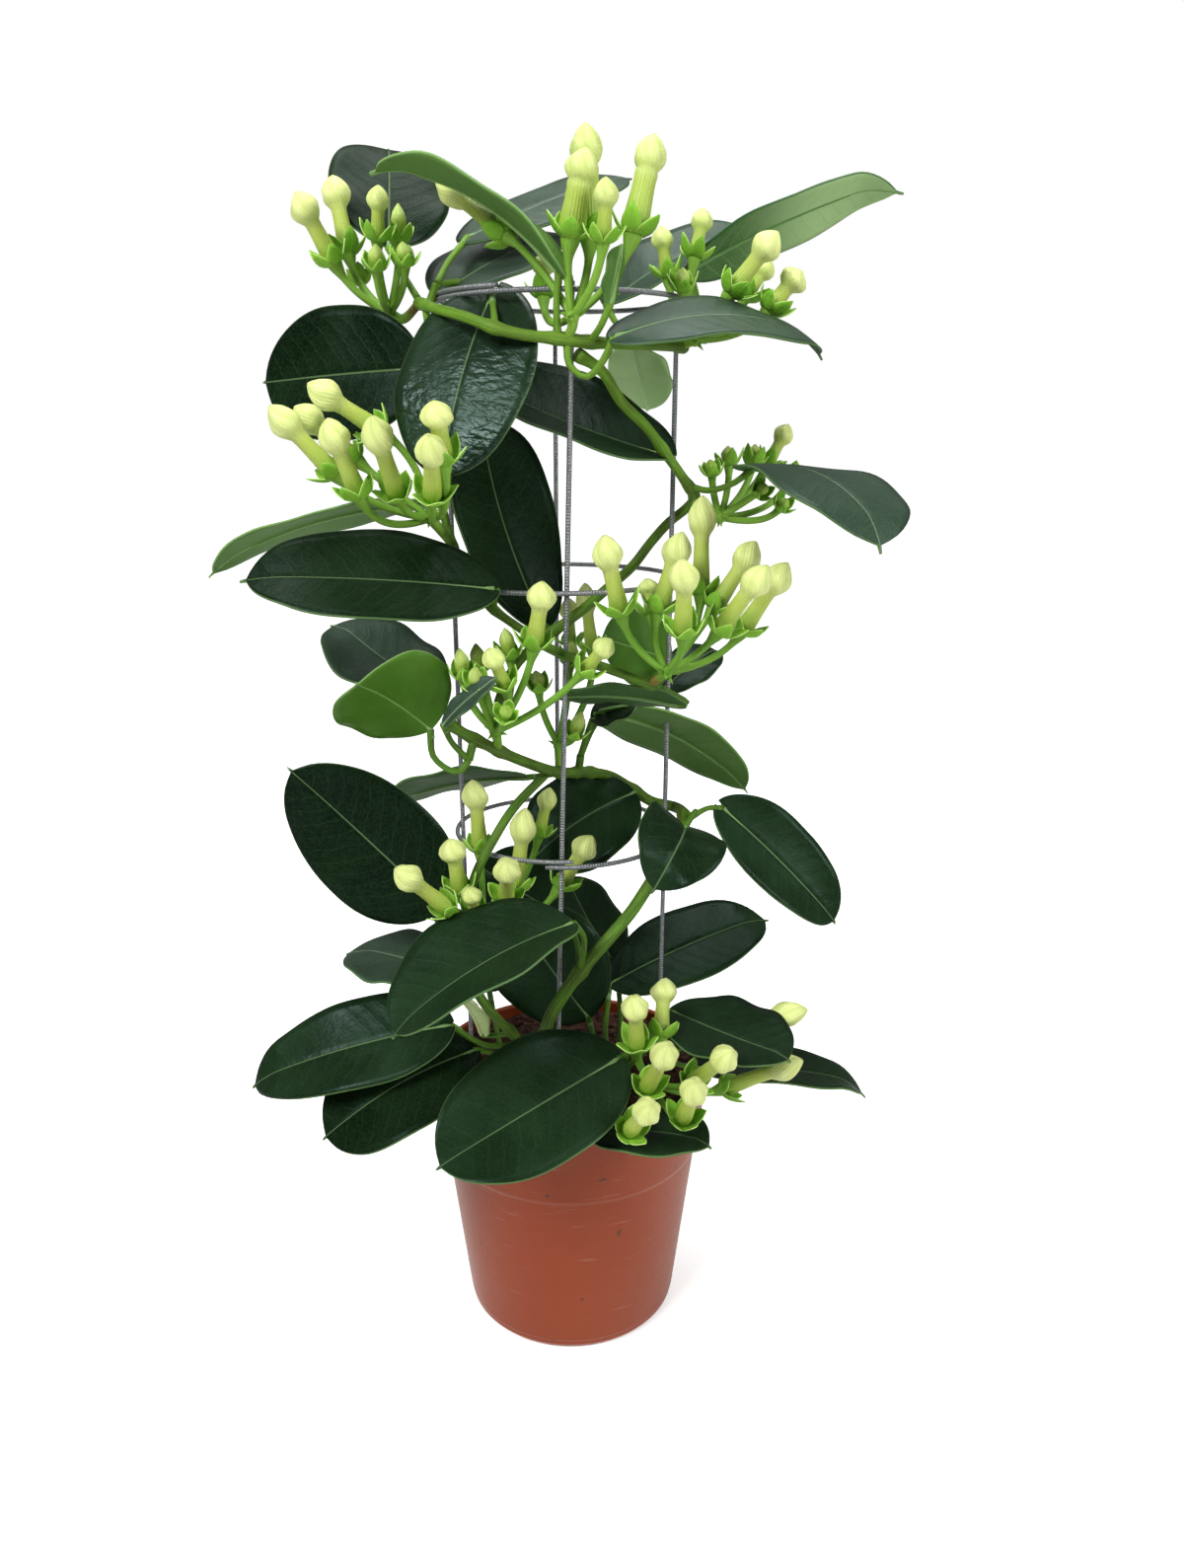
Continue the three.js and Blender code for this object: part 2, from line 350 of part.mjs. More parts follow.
/** Skins a stack of point loops, each with as many points as the next or half or twice as many. */
function skin(loops, { closeStart = true, closeEnd = true } = {}) {
  const points = [];
  const triangles = [];
  const starts = loops.map((loop) => {
    const start = points.length;
    points.push(...loop);
    return start;
  });
  for (let k = 0; k + 1 < loops.length; k++) {
    const [a, b, n, m] = [starts[k], starts[k + 1], loops[k].length, loops[k + 1].length];
    const steps = Math.max(n, m);
    for (let i = 0; i < steps; i++) {
      const [low, lowNext] = [Math.round((i * n) / steps), Math.round(((i + 1) * n) / steps)].map((j) => a + (j % n));
      const [high, highNext] = [Math.round((i * m) / steps), Math.round(((i + 1) * m) / steps)].map((j) => b + (j % m));
      if (low !== lowNext) triangles.push(low, lowNext, high);
      if (high !== highNext) triangles.push(lowNext, highNext, high);
    }
  }
  const cap = (start, count, flip) => {
    for (let i = 1; i + 1 < count; i++) {
      triangles.push(start, start + (flip ? i + 1 : i), start + (flip ? i : i + 1));
    }
  };
  if (closeStart) cap(starts[0], loops[0].length, true);
  if (closeEnd) cap(starts.at(-1), loops.at(-1).length, false);
  const geometry = new THREE.BufferGeometry();
  geometry.setAttribute('position', new THREE.Float32BufferAttribute(points.flatMap((p) => p.toArray()), 3));
  geometry.setIndex(triangles);
  return geometry.toNonIndexed();
}

/** A round bar along a curve, with a radius that changes evenly from one end to the other. */
function bar(route, radii, steps, sides) {
  const curve = new THREE.CatmullRomCurve3(route.map(vec), false, 'centripetal');
  const frames = curve.computeFrenetFrames(steps, false);
  const loops = [];
  for (let k = 0; k <= steps; k++) {
    const centre = curve.getPointAt(k / steps);
    const radius = THREE.MathUtils.lerp(radii[0], radii.at(-1), k / steps);
    loops.push(Array.from({ length: sides }, (_, i) => {
      const angle = (i / sides) * 2 * Math.PI;
      return centre.clone()
        .addScaledVector(frames.normals[k], radius * Math.cos(angle))
        .addScaledVector(frames.binormals[k], radius * Math.sin(angle));
    }));
  }
  return solidOf(skin(loops));
}

// ---------------------------------------------------------------- pot and soil
const potRadius = (z) => POT.baseRadius + ((POT.rimRadius - POT.lipWidth - POT.baseRadius) * z) / POT.height;

function potSolid() {
  const { height, wall, floor, footRadius, bandHeight, bandStep, lipHeight, lipWidth } = POT;
  const band = height - bandHeight;
  const outline = [
    [0, 0], [potRadius(0) - footRadius, 0], [potRadius(0) - 0.8, 0.8], [potRadius(footRadius), footRadius],
    [potRadius(band - 2), band - 2], [potRadius(band) + bandStep, band],
    [potRadius(height - lipHeight) + bandStep, height - lipHeight],
    [potRadius(height - lipHeight) + lipWidth, height - lipHeight + 1],
    [potRadius(height) + lipWidth, height - 0.8], [potRadius(height) + lipWidth - 0.8, height],
    [potRadius(height) - wall, height], [potRadius(floor) - wall, floor], [0, floor],
  ];
  const lathe = new THREE.LatheGeometry(outline.map(([x, y]) => new THREE.Vector2(x, y)), POT.sides);
  let pot = solidOf(lathe.rotateX(Math.PI / 2));
  for (let i = 0; i < POT.drains; i++) {
    const angle = ((i + 0.5) / POT.drains) * 2 * Math.PI;
    const drain = new THREE.CylinderGeometry(POT.drainRadius, POT.drainRadius, 4 * floor, 10).rotateX(Math.PI / 2);
    drain.translate(POT.drainRing * Math.cos(angle), POT.drainRing * Math.sin(angle), 0);
    pot = pot.subtract(solidOf(drain));
  }
  return pot;
}

function soilSolid(holes) {
  const { top, crown, bottom, sides } = SOIL;
  const fit = POT.wall + GAP + 0.35;
  const outline = [
    [0, bottom], [potRadius(bottom) - fit, bottom], [potRadius(top) - fit, top],
    [0.6 * potRadius(top), top + crown], [0, top + crown],
  ];
  const lathe = new THREE.LatheGeometry(outline.map(([x, y]) => new THREE.Vector2(x, y)), sides);
  return solidOf(lathe.rotateX(Math.PI / 2)).subtract(holes);
}

// ---------------------------------------------------------------- trellis
function ringSolid({ height, radius, start, overlap }, extra = 0) {
  const sweep = THREE.MathUtils.degToRad(360 + overlap);
  const first = THREE.MathUtils.degToRad(start);
  const route = Array.from({ length: WIRE.ringSteps + 1 }, (_, i) => {
    const share = i / WIRE.ringSteps;
    const angle = first + share * sweep;
    return [CAGE.centreX + radius * Math.cos(angle), radius * Math.sin(angle), height + share * WIRE.spliceRise];
  });
  return bar(route, [WIRE.radius + extra], WIRE.ringSteps, WIRE.sides);
}

const uprightSolid = ({ top, foot }, extra = 0) => bar([foot, top], [WIRE.radius + extra], 1, 6);

// ---------------------------------------------------------------- stems
function shootSolid({ route, radius }, extra = 0) {
  return bar(route, radius.map((r) => r + extra), route.length, 5);
}

const stemSolid = (stem, extra = 0) => union(stem.shoots.map((shoot) => shootSolid(shoot, extra)));

// ---------------------------------------------------------------- leaves
/** The blade's frame: its arched midrib and the directions across and out of it. */
function bladeFrame({ base, tip, face, bow = 0, hook = 0 }) {
  const [start, end] = [vec(base), vec(tip)];
  const along = end.clone().sub(start);
  const length = along.length();
  along.normalize();
  const out = vec(face).addScaledVector(along, -vec(face).dot(along)).normalize();
  const mid = start.clone().lerp(end, 0.5).addScaledVector(out, 2 * bow * length);
  const midrib = (t) => {
    const dip = hook * Math.max(0, (t - 0.82) / 0.18) ** 2;
    return start.clone().multiplyScalar((1 - t) ** 2)
      .addScaledVector(mid, 2 * t * (1 - t)).addScaledVector(end, t * t).addScaledVector(out, -dip);
  };
  const at = (t) => {
    const ahead = midrib(Math.min(1, t + 0.01)).sub(midrib(Math.max(0, t - 0.01))).normalize();
    const side = ahead.clone().cross(out).normalize();
    return { ahead, side, normal: side.clone().cross(ahead) };
  };
  return { length, midrib, at };
}

/** Half the blade's width along the midrib: blunt at the base, blunt with a small point at the tip. */
function halfWidth(t, width, widest) {
  const along = Math.min(1, t / LEAF.blunt);
  const u = along < widest ? along / widest - 1 : (along - widest) / (1 - widest);
  const swell = (1 - Math.abs(u) ** 2.2) ** 0.55;
  return Math.max((width / 2) * swell, t < 0.5 ? LEAF.stalkRadius : 0.5);
}

function bladePoint(blade, frame, t, s) {
  const { fold = 0.06, lobe = 0.03, notch = 0, widest = 0.5, width } = blade;
  const { ahead, side, normal } = frame.at(t);
  const half = halfWidth(t, width, widest);
  const slip = frame.length * s * s * (notch * t ** 4 - lobe * (1 - t) ** 4);
  return frame.midrib(t)
    .addScaledVector(side, s * half * (1 - 0.3 * fold * fold))
    .addScaledVector(normal, fold * half * Math.abs(s) ** 1.5)
    .addScaledVector(ahead, slip);
}

/** A thin closed blade: the same grid on both faces, so that the two never cross. */
function bladeSolid(blade) {
  const frame = bladeFrame(blade);
  const { rows, thickness, narrow } = LEAF;
  const columns = blade.width < narrow ? 2 : 4;
  const loops = [];
  for (let i = 0; i <= rows; i++) {
    const t = (1 - Math.cos((Math.PI * i) / rows)) / 2;
    const { normal } = frame.at(t);
    const line = Array.from({ length: columns + 1 }, (_, j) => bladePoint(blade, frame, t, (2 * j) / columns - 1));
    const upper = line.map((p) => p.clone().addScaledVector(normal, thickness / 2));
    const lower = line.map((p) => p.clone().addScaledVector(normal, -thickness / 2));
    loops.push([...upper, ...lower.reverse()]);
  }
  return solidOf(skin(loops));
}

function stalkSolid(blade) {
  const frame = bladeFrame(blade);
  const sunk = [0, 0.06].map((t) => {
    const { normal } = frame.at(t);
    return frame.midrib(t).addScaledVector(normal, -LEAF.thickness / 2).toArray();
  });
  const route = [...blade.stalk, ...sunk];
  return bar(route, [LEAF.stalkRadius + 0.3, LEAF.stalkRadius], route.length - 1, LEAF.stalkSides);
}

function leafSolid({ fork, blades }) {
  const pieces = blades.flatMap((blade) => [bladeSolid(blade), stalkSolid(blade)]);
  if (fork) pieces.push(bar(fork, [LEAF.stalkRadius + 0.6], 1, 5));
  return union(pieces);
}

// ---------------------------------------------------------------- umbels
/** One flower bud on its stalk: the stalk, a cup of five sepals, the tube and the pointed head. */
function budSolid(hub, [calyx, tip, gradeName]) {
  const grade = GRADES[gradeName];
  const [root, seat, point] = [vec(hub), vec(calyx), vec(tip)];
  const axis = point.clone().sub(seat);
  const length = axis.length();
  axis.normalize();
  const reach = root.distanceTo(seat);
  const knee = seat.clone().addScaledVector(axis, -0.45 * reach);
  const stalkAt = (t) => root.clone().multiplyScalar((1 - t) ** 2).addScaledVector(knee, 2 * t * (1 - t)).addScaledVector(seat, t * t);
  const across = new THREE.Vector3(0, 0, 1).cross(axis);
  if (across.lengthSq() < 0.01) across.set(1, 0, 0);
  across.normalize();
  const other = axis.clone().cross(across);
  const ring = (centre, radius, count = BUD.sides, lift = 0) => Array.from({ length: count }, (_, i) => {
    const angle = (i / count) * 2 * Math.PI;
    return centre.clone().addScaledVector(axis, lift)
      .addScaledVector(across, radius * Math.cos(angle)).addScaledVector(other, radius * Math.sin(angle));
  });
  const star = (outer, outerLift, inner, innerLift) => {
    const [far, near] = [ring(seat, outer, 10, outerLift), ring(seat, inner, 10, innerLift)];
    return far.map((p, i) => (i % 2 === 0 ? p : near[i]));
  };
  const open = ['plump', 'large', 'medium'].includes(gradeName);
  const neck = length * (1 - grade.headShare);
  const loops = [
    ring(root, BUD.stalkRadius, BUD.stalkSides), ring(stalkAt(0.6), BUD.stalkRadius, BUD.stalkSides),
    ring(seat, grade.cup),
    star(grade.sepalOut, grade.sepalUp, grade.cup + 0.5, 1.4),
    ring(seat, grade.throat, BUD.sides, 1.9),
  ];
  if (open) loops.push(ring(seat, grade.throat * 0.85, BUD.sides, neck - 1));
  loops.push(ring(seat, grade.head, BUD.sides, open ? neck + 0.3 * (length - neck) : Math.max(3, 0.55 * length)));
  loops.push([point]);
  return solidOf(skin(loops, { closeEnd: false }));
}

function umbelSolid({ root, hub, buds }) {
  const stalk = bar([...root, hub], [BUD.peduncleRadius], root.length, 5);
  const knob = solidOf(new THREE.OctahedronGeometry(BUD.hubRadius, 0).translate(...hub));
  return union([stalk, knob, ...buds.map((bud) => budSolid(hub, bud))]);
}

// ---------------------------------------------------------------- the whole plant
const plant = new THREE.Group();
const stemRoom = union(STEMS.map((stem) => stemSolid(stem, GAP)));
const wireRoom = union([...RINGS.map((r) => ringSolid(r, GAP)), ...UPRIGHTS.map((u) => uprightSolid(u, GAP))]);
const room = union([stemRoom, wireRoom]);

plant.add(meshNode('pot', potSolid(), FINISH.pot));
plant.add(meshNode('soil', soilSolid(room), FINISH.soil));
for (const ring of RINGS) plant.add(meshNode(ring.name, ringSolid(ring), FINISH.wire));
for (const upright of UPRIGHTS) plant.add(meshNode(upright.name, uprightSolid(upright), FINISH.wire));
for (const stem of STEMS) plant.add(meshNode(stem.name, stemSolid(stem), FINISH.stem));
for (const leaf of LEAVES) plant.add(meshNode(leaf.name, mainBody(leafSolid(leaf).subtract(room)), FINISH.leaf));
for (const umbel of UMBELS) plant.add(meshNode(umbel.name, mainBody(umbelSolid(umbel).subtract(room)), FINISH.bud));

export default plant;
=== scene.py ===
"""Madagascar jasmine on a small cylinder of wire, in its nursery pot, dressed for rendering.

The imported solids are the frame: each piece made here stands where its node stands and keeps
its form. Sizes are millimetres throughout, and a mesh is scaled to metres as it is published.
"""

from __future__ import annotations

import logging
import math
import random
from collections.abc import Callable, Sequence
from dataclasses import dataclass
from enum import Enum

import bmesh
import bpy
from mathutils import Matrix, Vector, noise

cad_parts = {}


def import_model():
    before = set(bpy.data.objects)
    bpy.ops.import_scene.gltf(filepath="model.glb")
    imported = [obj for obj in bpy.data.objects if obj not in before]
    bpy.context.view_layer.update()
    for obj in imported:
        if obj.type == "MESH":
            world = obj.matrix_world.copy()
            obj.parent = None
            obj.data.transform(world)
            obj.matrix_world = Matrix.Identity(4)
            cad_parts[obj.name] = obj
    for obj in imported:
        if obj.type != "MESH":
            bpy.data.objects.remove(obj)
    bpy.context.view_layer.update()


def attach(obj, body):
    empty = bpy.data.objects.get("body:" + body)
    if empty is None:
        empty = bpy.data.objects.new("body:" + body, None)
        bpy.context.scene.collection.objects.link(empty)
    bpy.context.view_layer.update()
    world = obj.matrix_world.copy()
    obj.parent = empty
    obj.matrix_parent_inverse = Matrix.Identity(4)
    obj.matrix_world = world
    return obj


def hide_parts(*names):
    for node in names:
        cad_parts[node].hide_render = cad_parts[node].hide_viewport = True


LOG = logging.getLogger("jasmine")
MM = 0.001
BODY = "root"
TURN = 2.0 * math.pi
UP = Vector((0.0, 0.0, 1.0))
RIGHT = Vector((1.0, 0.0, 0.0))
ROOM = 0.35  # the space left between neighbouring pieces

Triple = tuple[float, float, float]
Colour = tuple[float, float, float]


# ------------------------------------------------------------------ routes and meshes
def lerp(low: float, high: float, share: float) -> float:
    """Goes evenly from low at share 0 to high at share 1."""
    return low + (high - low) * share


class Route:
    """A smooth line through chosen points, measured along its length."""

    SPAN_STEPS = 10
    LOOK = 0.004
    STEEP = 0.9
    SHORTEST = 1e-4

    def __init__(self, points: Sequence[Triple | Vector]) -> None:
        """Samples a centripetal curve through the points.

        Args:
            points: The points that the line passes, two or more.
        """
        knots = [Vector(p) for p in points]
        knots = [knots[0] * 2 - knots[1], *knots, knots[-1] * 2 - knots[-2]]
        self.samples = [knots[1].copy()]
        for i in range(1, len(knots) - 2):
            for step in range(1, self.SPAN_STEPS + 1):
                self.samples.append(self._span(knots[i - 1 : i + 3], step / self.SPAN_STEPS))
        self.marks = [0.0]
        for a, b in zip(self.samples, self.samples[1:]):
            self.marks.append(self.marks[-1] + (b - a).length)
        self.length = self.marks[-1]

    @staticmethod
    def _span(knots: Sequence[Vector], share: float) -> Vector:
        """Finds a point between the second and third of four knots.

        Args:
            knots: Four knots in a row.
            share: How far from the second knot to the third, 0 to 1.

        Returns:
            The point.
        """
        a, b, c, d = knots
        gaps = [max((q - p).length, Route.SHORTEST) ** 0.5 for p, q in zip(knots, knots[1:])]
        leave = ((b - a) / gaps[0] - (c - a) / (gaps[0] + gaps[1]) + (c - b) / gaps[1]) * gaps[1]
        reach = ((c - b) / gaps[1] - (d - b) / (gaps[1] + gaps[2]) + (d - c) / gaps[2]) * gaps[1]
        t2, t3 = share * share, share**3
        return (
            b * (2 * t3 - 3 * t2 + 1) + leave * (t3 - 2 * t2 + share)
            + c * (3 * t2 - 2 * t3) + reach * (t3 - t2)
        )

    def at(self, share: float) -> Vector:
        """Gives the point at a share of the length."""
        goal = min(max(share, 0.0), 1.0) * self.length
        low, high = 0, len(self.marks) - 1
        while high - low > 1:
            middle = (low + high) // 2
            low, high = (middle, high) if self.marks[middle] <= goal else (low, middle)
        gap = self.marks[high] - self.marks[low]
        return self.samples[low].lerp(self.samples[high], (goal - self.marks[low]) / gap if gap else 0.0)

    def nearest(self, point: Vector) -> tuple[float, float]:
        """Finds where the line passes closest to a point.

        Args:
            point: The point to come near.

        Returns:
            The share of the length there, and the distance left.
        """
        best = min(range(len(self.samples)), key=lambda i: (self.samples[i] - point).length)
        return self.marks[best] / self.length, (self.samples[best] - point).length

    def frames(self, rings: int) -> list[Matrix]:
        """Carries a frame along the line without twisting it.

        Args:
            rings: How many frames, from end to end.

        Returns:
            One matrix a ring: its X and Y lie across the line and its Z runs along it.
        """
        made: list[Matrix] = []
        side = Vector()
        for k in range(rings):
            share = k / (rings - 1)
            ahead = (self.at(share + self.LOOK) - self.at(share - self.LOOK)).normalized()
            if k == 0:
                side = ahead.cross(UP if abs(ahead.z) < self.STEEP else RIGHT)
            side = (side - ahead * side.dot(ahead)).normalized()
            turned = Matrix((side, ahead.cross(side), ahead)).transposed().to_4x4()
            made.append(Matrix.Translation(self.at(share)) @ turned)
        return made


class Shaping:
    """One piece's mesh in the making, with the values that its finishes read."""

    def __init__(self) -> None:
        """Starts an empty mesh with its value layers."""
        self.bm = bmesh.new()
        self.run = self.bm.verts.layers.float_vector.new("run")
        self.blade = self.bm.verts.layers.float_vector.new("blade")
        self.tone = self.bm.verts.layers.float_vector.new("tone")

    def finish_faces(self, faces: Sequence[bmesh.types.BMFace], finish: int, smooth: bool = True) -> None:
        """Gives faces a material slot and their shading."""
        for face in faces:
            face.material_index = finish
            face.smooth = smooth

    def tube(
        self,
        route: Route,
        radius: Callable[[float], float],
        rings: int,
        sides: int,
        finish: int,
        tone: Triple = (0.0, 0.0, 0.0),
    ) -> None:
        """Extrudes a circle along a route and closes both ends.

        Args:
            route: The line to follow.
            radius: Gives the radius at a share of the length.
            rings: How many rings of points, from end to end.
            sides: How many sides the tube has.
            finish: The material slot.
            tone: The values that the finish reads.
        """
        bm = self.bm
        frames = route.frames(rings)
        ring = bmesh.ops.create_circle(bm, cap_ends=False, segments=sides, radius=1.0)["verts"]
        for vert in ring:
            vert[self.run] = (vert.co.x, vert.co.y, 0.0)
            vert[self.tone] = tone
        edges = list({edge for vert in ring for edge in vert.link_edges})
        first = list(edges)
        faces: list[bmesh.types.BMFace] = []
        place = frames[0] @ Matrix.Scale(radius(0.0), 4)
        bmesh.ops.transform(bm, matrix=place, verts=ring)
        for k in range(1, rings):
            share = k / (rings - 1)
            made = bmesh.ops.extrude_edge_only(bm, edges=edges)["geom"]
            ring = [g for g in made if isinstance(g, bmesh.types.BMVert)]
            edges = [g for g in made if isinstance(g, bmesh.types.BMEdge)]
            faces += [g for g in made if isinstance(g, bmesh.types.BMFace)]
            following = frames[k] @ Matrix.Scale(radius(share), 4)
            bmesh.ops.transform(bm, matrix=following @ place.inverted(), verts=ring)
            place = following
            for vert in ring:
                x, y, _ = vert[self.run]
                vert[self.run] = (x, y, share * route.length)
        ends = [e for e in first + edges if len(e.link_faces) == 1]
        faces += bmesh.ops.holes_fill(bm, edges=ends, sides=0)["faces"]
        bmesh.ops.recalc_face_normals(bm, faces=faces)
        self.finish_faces(faces, finish)

    def publish(
        self, name: str, finishes: Sequence[bpy.types.Material], nodes: Sequence[str]
    ) -> bpy.types.Object:
        """Writes the mesh as a piece of the plant.

        Args:
            name: The piece's name.
            finishes: Its materials, in the order of their slots.
            nodes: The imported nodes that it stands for.

        Returns:
            The new object, at the origin.
        """
        self.bm.normal_update()
        bmesh.ops.transform(self.bm, matrix=Matrix.Scale(MM, 4), verts=self.bm.verts)
        mesh = bpy.data.meshes.new(name)
        for finish in finishes:
            mesh.materials.append(finish)
        self.bm.to_mesh(mesh)
        self.bm.free()
        piece = bpy.data.objects.new(name, mesh)
        bpy.context.scene.collection.objects.link(piece)
        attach(piece, BODY)
        if nodes:
            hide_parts(*nodes)
        LOG.info("%s: %d faces", name, len(mesh.polygons))
        return piece


# ------------------------------------------------------------------ finishes
class Wiring:
    """Short calls that add and link the nodes of one tree."""

    MIX_COLOURS = (6, 7)
    MIXED_COLOUR = 2

    def __init__(self, tree: bpy.types.NodeTree) -> None:
        """Takes the tree to fill."""
        self.tree = tree

    def add(self, kind: str, **settings: object) -> bpy.types.Node:
        """Adds a node.

        Args:
            kind: The node's type.
            **settings: Attributes to set on it.

        Returns:
            The node.
        """
        node = self.tree.nodes.new(kind)
        for key, value in settings.items():
            setattr(node, key, value)
        return node

    def feed(self, socket: bpy.types.NodeSocket, value: object) -> None:
        """Links an output to a socket, or sets the socket's own value."""
        if isinstance(value, bpy.types.NodeSocket):
            self.tree.links.new(value, socket)
        else:
            socket.default_value = value

    def attribute(self, name: str) -> bpy.types.NodeSocket:
        """Reads a vector layer of the mesh."""
        return self.add("ShaderNodeAttribute", attribute_name=name).outputs["Vector"]

    def place(self) -> bpy.types.NodeSocket:
        """Reads the point's place on the piece."""
        return self.add("ShaderNodeTexCoord").outputs["Object"]

    def split(self, vector: bpy.types.NodeSocket) -> tuple[bpy.types.NodeSocket, ...]:
        """Parts a vector into its three numbers."""
        node = self.add("ShaderNodeSeparateXYZ")
        self.feed(node.inputs[0], vector)
        return tuple(node.outputs)

    def math(self, operation: str, a: object, b: object = 0.0) -> bpy.types.NodeSocket:
        """Works out one number from two."""
        node = self.add("ShaderNodeMath", operation=operation)
        self.feed(node.inputs[0], a)
        self.feed(node.inputs[1], b)
        return node.outputs[0]

    def scaled(self, vector: object, scale: Triple) -> bpy.types.NodeSocket:
        """Multiplies a vector, axis by axis."""
        node = self.add("ShaderNodeVectorMath", operation="MULTIPLY")
        self.feed(node.inputs[0], vector)
        node.inputs[1].default_value = scale
        return node.outputs[0]

    def noise(
        self, vector: object, scale: float, detail: float = 2.0, roughness: float = 0.5
    ) -> bpy.types.NodeSocket:
        """Gives soft random values.

        Args:
            vector: Where to read.
            scale: How fine it is.
            detail: How many finer layers it has.
            roughness: How strong those are.

        Returns:
            A number about 0.5.
        """
        node = self.add("ShaderNodeTexNoise")
        self.feed(node.inputs["Vector"], vector)
        node.inputs["Scale"].default_value = scale
        node.inputs["Detail"].default_value = detail
        node.inputs["Roughness"].default_value = roughness
        return node.outputs["Fac"]

    def fade(
        self, value: object, low: float, high: float, at_low: float = 0.0, at_high: float = 1.0
    ) -> bpy.types.NodeSocket:
        """Passes smoothly from one value to another as a number goes from low to high."""
        node = self.add("ShaderNodeMapRange", interpolation_type="SMOOTHSTEP")
        for socket, number in zip(node.inputs, (value, low, high, at_low, at_high)):
            self.feed(socket, number)
        return node.outputs[0]

    def mix(self, share: object, low: object, high: object) -> bpy.types.NodeSocket:
        """Mixes two colours.

        Args:
            share: How much of the second one.
            low: The first colour.
            high: The second colour.

        Returns:
            The mixed colour.
        """
        node = self.add("ShaderNodeMix", data_type="RGBA")
        self.feed(node.inputs[0], share)
        for socket, colour in zip(self.MIX_COLOURS, (low, high)):
            self.feed(node.inputs[socket], (*colour, 1.0) if isinstance(colour, tuple) else colour)
        return node.outputs[self.MIXED_COLOUR]

    def bump(self, height: object, depth: float, under: object = None) -> bpy.types.NodeSocket:
        """Turns a height into a relief.

        Args:
            height: The height, 0 to 1.
            depth: How deep that is, in millimetres.
            under: A relief that this one lies on.

        Returns:
            The normal.
        """
        node = self.add("ShaderNodeBump")
        node.inputs["Distance"].default_value = depth * MM
        self.feed(node.inputs["Height"], height)
        if under is not None:
            self.feed(node.inputs["Normal"], under)
        return node.outputs[0]

    def group(self, tree: bpy.types.NodeTree, **inputs: object) -> bpy.types.Node:
        """Places a node group and feeds its inputs."""
        node = self.add("ShaderNodeGroup", node_tree=tree)
        for key, value in inputs.items():
            self.feed(node.inputs[key], value)
        return node


def new_group(name: str, takes: dict[str, str], gives: dict[str, str]) -> tuple[Wiring, dict, dict]:
    """Starts a shader node group.

    Args:
        name: The group's name.
        takes: Its inputs' names and socket types.
        gives: Its outputs' names and socket types.

    Returns:
        The wiring of the group, its inputs inside and its outputs' sockets inside.
    """
    tree = bpy.data.node_groups.new(name, "ShaderNodeTree")
    for in_out, sockets in (("INPUT", takes), ("OUTPUT", gives)):
        for key, kind in sockets.items():
            tree.interface.new_socket(key, in_out=in_out, socket_type=kind)
    wiring = Wiring(tree)
    entry, leave = wiring.add("NodeGroupInput"), wiring.add("NodeGroupOutput")
    return wiring, {k: entry.outputs[k] for k in takes}, {k: leave.inputs[k] for k in gives}


FLOAT, VECTOR = "NodeSocketFloat", "NodeSocketVector"
VEIN_LEAN = 0.42
VEIN_CURVE = 0.013
VEIN_STAGGER = 1.6
VEIN_WANDER = 3.0
MIDRIB_REACH = 90.0


def vein_group() -> bpy.types.NodeTree:
    """Builds the veins of a blade: a midrib, side veins that curve to the tip, and the margin.

    Returns:
        The group. It puts out masks for the midrib, the side veins and the margin, and a height.
    """
    name = "blade_veins"
    if name in bpy.data.node_groups:
        return bpy.data.node_groups[name]
    w, takes, gives = new_group(
        name,
        {"Blade": VECTOR, "Spacing": FLOAT, "Midrib": FLOAT},
        {"Midrib": FLOAT, "Side": FLOAT, "Margin": FLOAT, "Height": FLOAT},
    )
    along, across, edge = w.split(takes["Blade"])
    off = w.math("ABSOLUTE", across)
    half = w.math("MULTIPLY", takes["Midrib"], w.fade(along, 0.0, MIDRIB_REACH, 1.0, 0.55))
    midrib = w.math("SUBTRACT", 1.0, w.fade(w.math("DIVIDE", off, half), 0.55, 1.25))
    curve = w.math("MULTIPLY", w.math("POWER", off, 2.0), VEIN_CURVE)
    bend = w.math("ADD", w.math("MULTIPLY", off, VEIN_LEAN), curve)
    stagger = w.math("MULTIPLY", w.math("SIGN", across), VEIN_STAGGER)
    wander = w.math("MULTIPLY", w.noise(takes["Blade"], 0.16, 1.0), VEIN_WANDER)
    line = w.math("ADD", w.math("ADD", w.math("SUBTRACT", along, bend), stagger), wander)
    ripple = w.math("COSINE", w.math("MULTIPLY", w.math("DIVIDE", line, takes["Spacing"]), TURN))
    side = w.math("MULTIPLY", w.fade(ripple, 0.9, 1.0), w.fade(edge, 0.72, 0.95, 1.0, 0.0))
    margin = w.fade(edge, 0.975, 0.995)
    lift = w.math("ADD", w.math("MULTIPLY", ripple, 0.28), w.math("MULTIPLY", side, -0.25))
    height = w.math("SUBTRACT", w.math("MULTIPLY", lift, w.fade(edge, 0.75, 1.0, 1.0, 0.0)), midrib)
    for key, value in (("Midrib", midrib), ("Side", side), ("Margin", margin), ("Height", height)):
        w.feed(gives[key], value)
    return w.tree


